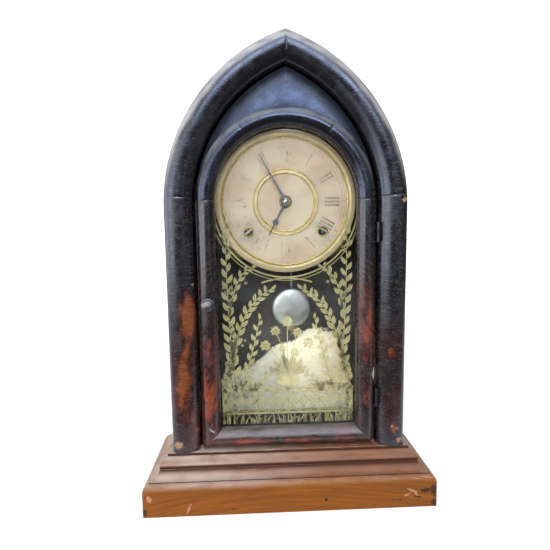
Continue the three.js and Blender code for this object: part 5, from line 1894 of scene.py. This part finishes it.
@dataclass
class Dial:
    """Painted dial with Roman hours, a brass bezel, a brass centre ring and ferrules."""

    centre: tuple[float, float] = (0.0, 321.5)
    face: float = -7.35
    ink_front: float = -7.4
    ink_back: float = -7.32
    seat: float = -7.5
    numeral_inner: float = 42.5
    numeral_outer: float = 58.0
    numeral_narrow: float = 0.92
    track_inner: float = 61.2
    track_outer: float = 64.4
    line: float = 0.16
    bezel_inner: float = 66.3
    bead_width: float = 1.5
    bead_rise: float = 1.9
    bezel_outer: float = 75.5
    bezel_rise: float = 4.0
    quirk: float = 0.7
    crown_share: float = 0.34
    lip: float = -5.75
    plate_radius: float = 74.75
    ring_inner: float = 30.0
    ring_outer: float = 35.3
    ring_bead: float = 0.8
    flat_inset: float = 1.5
    flat_rise: float = 0.5
    ferrule_radius: float = 4.95
    ferrule_seat: float = -7.31
    ferrule_reach: tuple[float, float] = (0.75, 0.55)

    NUMERALS = ("XII", "I", "II", "III", "IIII", "V", "VI", "VII", "VIII", "IX", "X", "XI")
    THICK, THIN = 0.062, 0.018
    LETTERS = {
        "I": (0.26, (
            (0.13, 0.02, 0.13, 0.98, THICK),
            (0.02, THIN, 0.24, THIN, THIN),
            (0.02, 1 - THIN, 0.24, 1 - THIN, THIN),
        )),
        "V": (0.62, (
            (0.12, 0.98, 0.32, 0.02, THICK),
            (0.52, 0.98, 0.33, 0.02, THIN),
            (0.02, 1 - THIN, 0.24, 1 - THIN, THIN),
            (0.42, 1 - THIN, 0.60, 1 - THIN, THIN),
        )),
        "X": (0.62, (
            (0.12, 0.98, 0.50, 0.02, THICK),
            (0.50, 0.98, 0.12, 0.02, THIN),
            (0.02, 1 - THIN, 0.24, 1 - THIN, THIN),
            (0.40, 1 - THIN, 0.60, 1 - THIN, THIN),
            (0.02, THIN, 0.22, THIN, THIN),
            (0.40, THIN, 0.60, THIN, THIN),
        )),
    }

    def numerals(self, piece: Piece) -> None:
        """Adds the twelve hours, each upright towards the rim.

        A letter has a width and its strokes as x0, y0, x1, y1 and half width, all for a
        height of 1.

        Args:
            piece: the piece that they join.
        """
        height = self.numeral_outer - self.numeral_inner
        for hour, word in enumerate(self.NUMERALS):
            letters = [self.LETTERS[kind] for kind in word]
            starts = np.cumsum([0.0] + [wide for wide, _ in letters])
            strokes = [
                (left + x0, y0, left + x1, y1, half)
                for left, (_, rows) in zip(starts, letters)
                for x0, y0, x1, y1, half in rows
            ]
            table = np.array(strokes)
            angle = math.radians(30 * hour)
            out = np.array([math.sin(angle), math.cos(angle)])
            along = np.array([math.cos(angle), -math.sin(angle)])
            ends = table[:, :4].reshape(-1, 2, 2)
            line = np.stack([ends[:, 0], ends.mean(axis=1), ends[:, 1]], axis=1)
            across = (line[..., 0] - starts[-1] / 2) * height * self.numeral_narrow
            up = self.numeral_inner + line[..., 1] * height
            paths = across[..., None] * along + up[..., None] * out + self.centre
            widths = np.repeat(table[:, 4:] * height, 3, axis=1)
            piece.strokes(paths, widths, self.ink_front, self.ink_back)

    def minute_track(self, piece: Piece) -> None:
        """Adds two thin circles and a tick for each minute between them.

        Args:
            piece: the piece that they join.
        """
        reach = np.linspace(self.track_inner, self.track_outer, 3)
        for radius in (self.track_inner, self.track_outer):
            low, high = radius - self.line, radius + self.line
            front, back = self.ink_front, self.ink_back
            loop = np.array([[low, front], [high, front], [high, back], [low, back]])
            piece.grid(turned_grid(closed_loop(loop), *self.centre, 180), ends=False)
        minute = np.arange(60)
        angle = np.radians(6 * minute)[:, None]
        path = joined(np.sin(angle) * reach, np.cos(angle) * reach) + self.centre
        width = np.where(minute % 5 == 0, 0.38, self.line)[:, None] * np.ones(3)
        piece.strokes(path, width, self.ink_front, self.ink_back)

    def bezel_profile(self) -> Array:
        """Radius and depth of the wide band: a quirk, a steep rise, a broad crown and the lip.

        The crown rises as sin^0.6 over the first third of the width and then falls by a
        fifth. The outer tenth turns down as a quarter circle.

        Returns:
            A closed profile of points with two coordinates.
        """
        t = np.linspace(0, 1, 33)
        low, high, peak = self.bezel_inner + self.bead_width, self.bezel_outer, self.crown_share
        up = np.sin(np.minimum(t / peak, 1.0) * QUARTER_TURN) ** 0.6
        fall = 1 - 0.2 * np.maximum(t - peak, 0) / (1 - peak)
        turn_down = np.sqrt(np.maximum(1 - np.maximum((t - 0.9) / 0.1, 0) ** 2, 0))
        crown = (self.bezel_rise - self.quirk) * up * fall * np.maximum(turn_down, 0.05)
        band = joined(low + (high - low) * t, self.seat - self.quirk - crown)
        outside = [[high, self.lip], [self.plate_radius, self.lip]]
        seat = [[self.plate_radius, self.seat], [low, self.seat]]
        return closed_loop(np.concatenate([band, outside, seat]))

    def bead(self, middle: float, half: float) -> Array:
        """Radius and depth of a half-round bead on the dial."""
        return closed_loop(ellipse((middle, self.seat), (half, self.bead_rise), 180, 360, 12))

    def centre_flat(self) -> Array:
        """Radius and depth of the low band between the two beads of the centre ring.

        Returns:
            A closed profile of points with two coordinates.
        """
        inner, outer = self.ring_inner + self.flat_inset, self.ring_outer - self.flat_inset
        top, seat = self.seat - self.flat_rise, self.seat
        return closed_loop(np.array([[inner, top], [outer, top], [outer, seat], [inner, seat]]))

    def build(self) -> None:
        """Makes ink, bezel, centre ring and ferrules, and dresses the plate."""
        dress(["dial_plate"], PAINT)
        ink = Piece("dial_hours_and_minutes")
        self.numerals(ink)
        self.minute_track(ink)
        ink.make("case", "dial_paint", INK)
        half, small = self.bead_width / 2, self.ring_bead
        for name, profile, finish, node in (
            ("bezel_band", self.bezel_profile(), BEZEL_BRASS, "bezel"),
            ("bezel_inner_bead", self.bead(self.bezel_inner + half, half), RING_BRASS, "bezel"),
            ("centre_ring_flat", self.centre_flat(), BEZEL_BRASS, "centre_ring"),
            ("centre_ring_inner_bead", self.bead(self.ring_inner + small, small), RING_BRASS,
             "centre_ring"),
            ("centre_ring_outer_bead", self.bead(self.ring_outer - small, small), RING_BRASS,
             "centre_ring"),
        ):
            nodes = [f"dial_{node}"]
            turned(name, profile, self.centre, 200, "case", "brass", finish, nodes, ROUND_ANGLE)
        middle = (self.ferrule_radius, self.ferrule_seat)
        ferrule = closed_loop(ellipse(middle, self.ferrule_reach, 180, 360, 8))
        for side in Side:
            hole = (side.value * WINDING[0], WINDING[1])
            name = f"winding_ferrule_{side.word}"
            turned(name, ferrule, hole, 48, "case", "brass", CLOCK_BRASS)


@dataclass
class Hands:
    """Two blued steel hands and the domed nut that holds them."""

    centre: tuple[float, float] = (0.0, 321.5)
    nut_radius: float = 3.2
    nut_front: float = -15.3
    nut_back: float = -13.1
    minute_front: float = -12.95
    hour_front: float = -11.15
    thickness: float = 0.8
    minute_length: float = 57.0
    hour_length: float = 39.0
    minute_angle: float = 331.0
    hour_angle: float = 207.5
    minute_bore: float = 1.55
    hour_bore: float = 3.2
    eye_radius: float = 4.4
    blade_start: float = 4.25
    root_width: float = 2.6
    tip_width: float = 0.9
    disc_radius: float = 3.1
    disc_place: float = 24.0
    bevel: float = 0.25

    def blade(self, length: float, disc: float) -> tuple[Array, Array]:
        """Middle line and half width of a hand, from its eye to its tip.

        The half width falls evenly from root to tip, and a disc widens it round its place.

        Args:
            length: from the dial's middle to the tip.
            disc: radius of the disc, or 0.

        Returns:
            Two arrays.
        """
        reach = np.linspace(self.blade_start, length, 60 if disc else 14)
        half = (self.root_width + (self.tip_width - self.root_width) * reach / length) / 2
        spread = np.sqrt(np.maximum(disc**2 - (reach - self.disc_place) ** 2, 0))
        return reach, np.maximum(half, spread)

    def hand_grid(self, front: float, angle: float, reach: Array, half: Array) -> Array:
        """A flat blade with bevelled front edges: six points round each cross-section.

        Args:
            front: depth of the front.
            angle: clockwise from twelve.
            reach: the middle line.
            half: half widths.

        Returns:
            A grid of points, path by section.
        """
        turn = math.radians(angle)
        out = np.array([math.sin(turn), math.cos(turn)])
        along = np.array([math.cos(turn), -math.sin(turn)])
        inset = half - np.minimum(self.bevel, half * 0.4)
        slope, back = self.bevel, self.thickness
        rim = ((-half, slope), (-inset, 0), (inset, 0), (half, slope), (half, back), (-half, back))
        columns = []
        for across, depth in rim:
            flat = reach[:, None] * out + across[:, None] * along + self.centre
            columns.append(joined(flat[:, 0], front + depth, flat[:, 1]))
        return closed_tube(np.stack(columns, axis=1))

    def eye_profile(self, front: float, bore: float) -> Array:
        """Radius and depth of the round eye with its bore.

        Args:
            front: depth of the front.
            bore: radius of the bore.

        Returns:
            A closed profile of points with two coordinates.
        """
        rim, back, slope = self.eye_radius, front + self.thickness, self.bevel
        edge = [[rim - slope, front], [rim, front + slope]]
        return closed_loop(np.array([[bore, front], *edge, [rim, back], [bore, back]]))

    def build(self) -> None:
        """Makes both hands and the nut."""
        for node, front, angle, length, disc, bore in (
            ("minute_hand", self.minute_front, self.minute_angle, self.minute_length, 0.0,
             self.minute_bore),
            ("hour_hand", self.hour_front, self.hour_angle, self.hour_length, self.disc_radius,
             self.hour_bore),
        ):
            body, grid = f"{node}_group", self.hand_grid(front, angle, *self.blade(length, disc))
            Piece(f"{node}_blade").grid(grid).make(body, "black_iron", HAND_STEEL, [node])
            eye = self.eye_profile(front, bore)
            turned(f"{node}_collar", eye, self.centre, 48, body, "silvered", COLLAR, [node])
        size = (self.nut_radius, self.nut_back - self.nut_front)
        dome = ellipse((0, self.nut_back), size, -90, 0, 12)
        nut = np.append(dome, [[0, self.nut_back]], axis=0)
        turned(
            "domed_hand_nut", nut, self.centre, 40, "minute_hand_group", "silvered", SILVERED,
            ["hand_nut"],
        )
        dress(["cannon_sleeve", "hour_wheel", "minute_wheel"], CLOCK_BRASS)


@dataclass
class Pendulum:
    """Rod with a lens-shaped bob and a knurled nut under it."""

    x: float = 6.0
    plane: float = 0.65
    bob_z: float = 205.0
    bob_radius: float = 21.5
    thickness: float = 9.0
    rim: float = 2.4
    roll: float = 0.5
    nut_radius: float = 4.0
    nut_bottom: float = 180.1
    nut_top: float = 183.4
    notches: int = 24
    notch_depth: float = 0.15

    def bob_profile(self) -> Array:
        """Radius and depth: two shallow domes and a narrow rolled rim.

        Returns:
            Points with two coordinates, both ends on the axis.
        """
        rim, flat = self.rim / 2, self.bob_radius - self.roll
        dome = (flat, self.thickness / 2 - rim)
        front = ellipse((0, self.plane - rim), dome, -90, 0, 24)
        edge = ellipse((flat, self.plane), (self.roll, rim), -90, 90, 8)
        back = ellipse((0, self.plane + rim), dome, 0, 90, 24)
        return np.concatenate([front, edge, back])

    def nut_grid(self) -> Array:
        """A drum about the rod whose radius ripples with the knurl: r + depth cos(n a).

        Returns:
            A grid of points, section by angle.
        """
        angle = np.linspace(0, 2 * math.pi, self.notches * 6 + 1)[None, :]
        height = np.array([0, 0, 0.12, 0.88, 1, 1])[:, None]
        reach = np.array([0.0, 0.86, 1.0, 1.0, 0.86, 0.0])[:, None]
        ripple = np.where(reach > 0.9, self.notch_depth * np.cos(self.notches * angle), 0)
        radius = reach * (self.nut_radius - self.notch_depth) + ripple
        z = self.nut_bottom + height * (self.nut_top - self.nut_bottom)
        return joined(self.x + radius * np.cos(angle), self.plane + radius * np.sin(angle), z)

    def build(self) -> None:
        """Makes bob and nut, and dresses the rod."""
        bob, place = self.bob_profile(), (self.x, self.bob_z)
        turned("bob_lens", bob, place, 120, "bob", "silvered", SILVERED, ["pendulum_bob"])
        nut = Piece("rating_nut_knurled").grid(self.nut_grid(), ends=False)
        nut.make("bob", "brass", CLOCK_BRASS, ["rating_nut"])
        dress(["pendulum_rod"], STEEL)


@dataclass
class Movement:
    """Brass plates and wheels, blued springs, and the wire gong on the backboard."""

    spring_thickness: float = 0.5
    spring_turns: int = 9
    spring_inner: float = 3.25
    spring_outer: float = 25.0
    tail_share: float = 0.07
    tail_inset: float = 0.5
    gong: tuple[float, float] = (0.0, 315.0)
    gong_plane: float = 43.75
    gong_inner: float = 10.0
    gong_outer: float = 45.0
    gong_turns: float = 3.5
    gong_wire: float = 1.1

    BRASS = (
        "movement_front_plate", "movement_back_plate", "great_wheel_time", "great_wheel_strike",
        "second_wheel_time", "centre_wheel", "third_wheel", "escape_wheel",
        "second_wheel_strike", "pin_wheel_strike", "strike_fly",
    )
    STEEL = ("winding_arbor_time", "winding_arbor_strike", "verge_and_crutch", "strike_hammer")

    def spring_end(self, node: str, x: float, z: float) -> tuple[float, float]:
        """Bearing and distance of the solid spring's outer end from its arbor.

        Args:
            node: the spring's node.
            x: the arbor's place across.
            z: its height.

        Returns:
            An angle in radians and a distance.
        """
        place = vertices(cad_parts[node].data) - np.array([x, 0, z])
        reach = np.hypot(place[:, 0], place[:, 2])
        far = int(np.argmax(reach))
        return math.atan2(place[far, 2], place[far, 0]), float(reach[far])

    def spring(self, node: str) -> Array:
        """A band in a spiral whose last part leaves it for the pillar.

        The radius grows evenly with the angle, and over the last share of the length it
        grows by the square of the way, up to the place where the solid one ends.

        Args:
            node: the spring's node.

        Returns:
            A grid of points, path by section.
        """
        low, high = corners(node)
        hand = math.copysign(1, low[0] + high[0])
        x, z = hand * WINDING[0], WINDING[1]
        bearing, reach = self.spring_end(node, x, z)
        share = np.linspace(0, 1, self.spring_turns * 60 + 1)[:, None]
        run = np.maximum(0, share - 1 + self.tail_share) / self.tail_share
        radius = self.spring_inner + share * (self.spring_outer - self.spring_inner)
        radius = radius + run**2 * (reach - self.tail_inset - self.spring_outer)
        angle = bearing - hand * (1 - share) * self.spring_turns * 2 * math.pi
        offset = self.spring_thickness / 2 * np.array([-1, 1, 1, -1, -1])
        depth = np.array([low[1], low[1], high[1], high[1], low[1]])
        return about_axis(x, z, radius + offset, depth, angle)

    def gong_coil(self) -> Array:
        """A round wire in a flat spiral: the radius grows evenly with the angle.

        Returns:
            A grid of points, path by section.
        """
        share = np.linspace(0, 1, int(self.gong_turns * 72) + 1)[:, None]
        radius = self.gong_inner + share * (self.gong_outer - self.gong_inner)
        ring = np.linspace(0, 2 * math.pi, 13)[None, :]
        depth = self.gong_plane + self.gong_wire * np.sin(ring)
        turn = share * self.gong_turns * 2 * math.pi
        return about_axis(*self.gong, radius + self.gong_wire * np.cos(ring), depth, turn)

    def build(self) -> None:
        """Makes springs and gong, and dresses plates, wheels and arbors."""
        for name, grid, node in (
            ("mainspring_time_band", self.spring("mainspring_time"), "mainspring_time"),
            ("mainspring_strike_band", self.spring("mainspring_strike"), "mainspring_strike"),
            ("gong_wire_coil", self.gong_coil(), "gong_coil"),
        ):
            Piece(name).grid(grid).make("case", "steel", SPRING_STEEL, [node])
        dress(["gong_block"], BLACK_IRON)
        dress(self.BRASS, CLOCK_BRASS)
        dress(self.STEEL, STEEL)


@dataclass
class Studio:
    """White sweep, large soft lights and the camera of the photograph."""

    camera_place: tuple[float, float, float] = (-31.9, -462.85, 292.7)
    yaw: float = 0.0431
    pitch: float = 0.1083
    roll: float = 0.0133
    lens: float = 27.57
    sweep_reach: float = 2.4
    sweep_front: float = -2.6
    sweep_back: float = 1.5
    sweep_radius: float = 0.7
    sweep_height: float = 2.6
    fill: float = 0.3

    FLAGS = (
        ("floor_flag", (-1.0, -2.0, 0.004), (2, 0, 0), (0, 1.84, 0), FLAG_CLOTH),
        ("front_flag", (-1.0, -2.0, 0.0), (2, 0, 0), (0, -0.1, 0.78), FLAG_CLOTH),
        ("right_flag", (1.25, -2.0, 0.0), (0, 4.0, 0), (0, 0, 1.5), SIDE_CLOTH),
    )
    LAMPS = (
        ("front_window", (0.2, -2.2, 1.2), (0, 0, 0.3), (1.1, 0.6), 22, "#e4edff"),
        ("left_front", (-1.02, -1.75, 0.5), (0, -0.03, 0.25), (1.15, 0.95), 13, "#fbfaf8"),
        ("left_side", (-1.9, -0.55, 0.5), (0, 0, 0.25), (1.6, 0.95), 16, "#f8f9fb"),
        ("top_front", (-0.2, -1.1, 1.8), (0, 0, 0.3), (1.6, 1.2), 19, "#eaf0fc"),
        ("top_light", (-0.1, 0.1, 2.2), (0, 0.05, 0.2), (1.2, 1.2), 8, "#ffffff"),
        ("back_fill", (0.5, 2.0, 1.2), (0, 0, 0.25), (1.4, 1.0), 10, "#ffffff"),
        ("inside_beam", (0.52, -2.2, 0.34), (0, 0.04, 0.15), (0.08, 0.08), 0.085, "#fffaf2", 3.4),
    )

    def sheet(self, name: str, points: Array, finish: Finish) -> bpy.types.Object:
        """Adds a sheet of the stage, from a grid of points in metres.

        Args:
            name: its name.
            points: rows x columns x 3.
            finish: what it is covered with.

        Returns:
            The object.
        """
        mesh = bpy.data.meshes.new(name)
        faces = grid_faces(*points.shape[:2])
        mesh.from_pydata(points.reshape(-1, 3).tolist(), [], faces.tolist())
        mesh.materials.append(finish.material())
        sheet = bpy.data.objects.new(name, mesh)
        bpy.context.scene.collection.objects.link(sheet)
        return sheet

    def sweep(self) -> None:
        """A floor that curves up into a wall: a quarter circle between two flats."""
        turn = np.linspace(0, QUARTER_TURN, 17)
        back, radius = self.sweep_back, self.sweep_radius
        y = np.concatenate([[self.sweep_front], back + radius * np.sin(turn), [back + radius]])
        z = np.concatenate([[0.0], radius - radius * np.cos(turn), [self.sweep_height]])
        x = np.linspace(-self.sweep_reach, self.sweep_reach, 3)
        sheet = self.sheet("studio_sweep", joined(x, y[:, None], z[:, None]), WHITE_GROUND)
        faces = sheet.data.polygons
        faces.foreach_set("use_smooth", np.ones(len(faces), bool))

    def lamp(
        self,
        name: str,
        place: Sequence[float],
        target: Sequence[float],
        size: tuple[float, float],
        energy: float,
        tint: str,
        spread: float = 180.0,
    ) -> None:
        """Adds a rectangular soft light that looks at a target.

        Args:
            name: the lamp's name.
            place: its middle in metres.
            target: the point that it looks at.
            size: its width and height.
            energy: its power in watts.
            tint: its colour as a hex text.
            spread: the full angle of its beam in degrees.
        """
        data = bpy.data.lights.new(name, "AREA")
        data.shape = "RECTANGLE"
        data.size, data.size_y = size
        data.energy = energy
        data.spread = math.radians(spread)
        data.color = colour(tint)[:3]
        lamp = bpy.data.objects.new(name, data)
        back = np.array(place, float) - np.array(target, float)
        back /= np.linalg.norm(back)
        right = np.cross([0, 0, 1], back)
        right /= np.linalg.norm(right)
        lamp.matrix_world = placed(right, np.cross(back, right), back, place)
        lamp.visible_camera = False
        bpy.context.scene.collection.objects.link(lamp)

    def flag(
        self, name: str, corner: Sequence[float], across: Sequence[float], up: Sequence[float],
        cloth: FlagCloth,
    ) -> None:
        """Adds a dark card that only reflections see, as photographers set beside glass.

        Args:
            name: the card's name.
            corner: one corner in metres.
            across: one edge that starts there.
            up: the other edge that starts there.
            cloth: what it is covered with.
        """
        edge = np.array([corner, np.add(corner, across)])
        card = self.sheet(name, np.stack([edge, edge + up]), cloth)
        card.visible_camera = False
        card.visible_diffuse = False
        card.visible_shadow = False
        card.visible_transmission = False

    def world(self) -> None:
        """White for what looks at it, and a dimmer fill for the light it gives."""
        world = bpy.data.worlds.new("studio_world")
        bpy.context.scene.world = world
        world.use_nodes = True
        graph = Graph(world.node_tree)
        strength = graph.add("MapRange", {"Value": graph.seen(), "To Min": self.fill})
        light = graph.add("Background", ["#ffffff", strength])
        graph.add("OutputWorld", {"Surface": light})

    def camera(self) -> None:
        """Sets the camera that was fitted to the edges in the photograph."""
        yaw, pitch, roll = self.yaw, self.pitch, self.roll
        ahead = math.cos(pitch)
        forward = np.array([math.sin(yaw) * ahead, math.cos(yaw) * ahead, -math.sin(pitch)])
        level = np.array([math.cos(yaw), -math.sin(yaw), 0.0])
        down = np.cross(forward, level)
        right = level * math.cos(roll) + down * math.sin(roll)
        up = level * math.sin(roll) - down * math.cos(roll)
        data = bpy.data.cameras.new("photograph_view")
        data.lens = self.lens
        data.sensor_width = 36.0
        data.sensor_fit = "HORIZONTAL"
        data.clip_start = 0.01
        camera = bpy.data.objects.new("photograph_view", data)
        camera.matrix_world = placed(right, up, -forward, np.array(self.camera_place) * MM)
        bpy.context.scene.collection.objects.link(camera)
        bpy.context.scene.camera = camera

    def build(self) -> None:
        """Makes the stage, the lights and the camera."""
        self.sweep()
        for row in self.FLAGS:
            self.flag(*row)
        self.world()
        for row in self.LAMPS:
            self.lamp(*row)
        self.camera()
        bpy.context.scene.view_settings.view_transform = "Standard"


def main() -> None:
    """Builds the clock from its base upwards, and then the studio."""
    logging.basicConfig(level=logging.INFO, format="%(message)s")
    parts = (Base, Case, Door, GlassOrnament, Dial, Hands, Pendulum, Movement, Studio)
    for part in parts:
        LOG.info("== %s", part.__name__)
        part().build()
    bpy.context.view_layer.update()


if __name__ == "__main__":
    main()
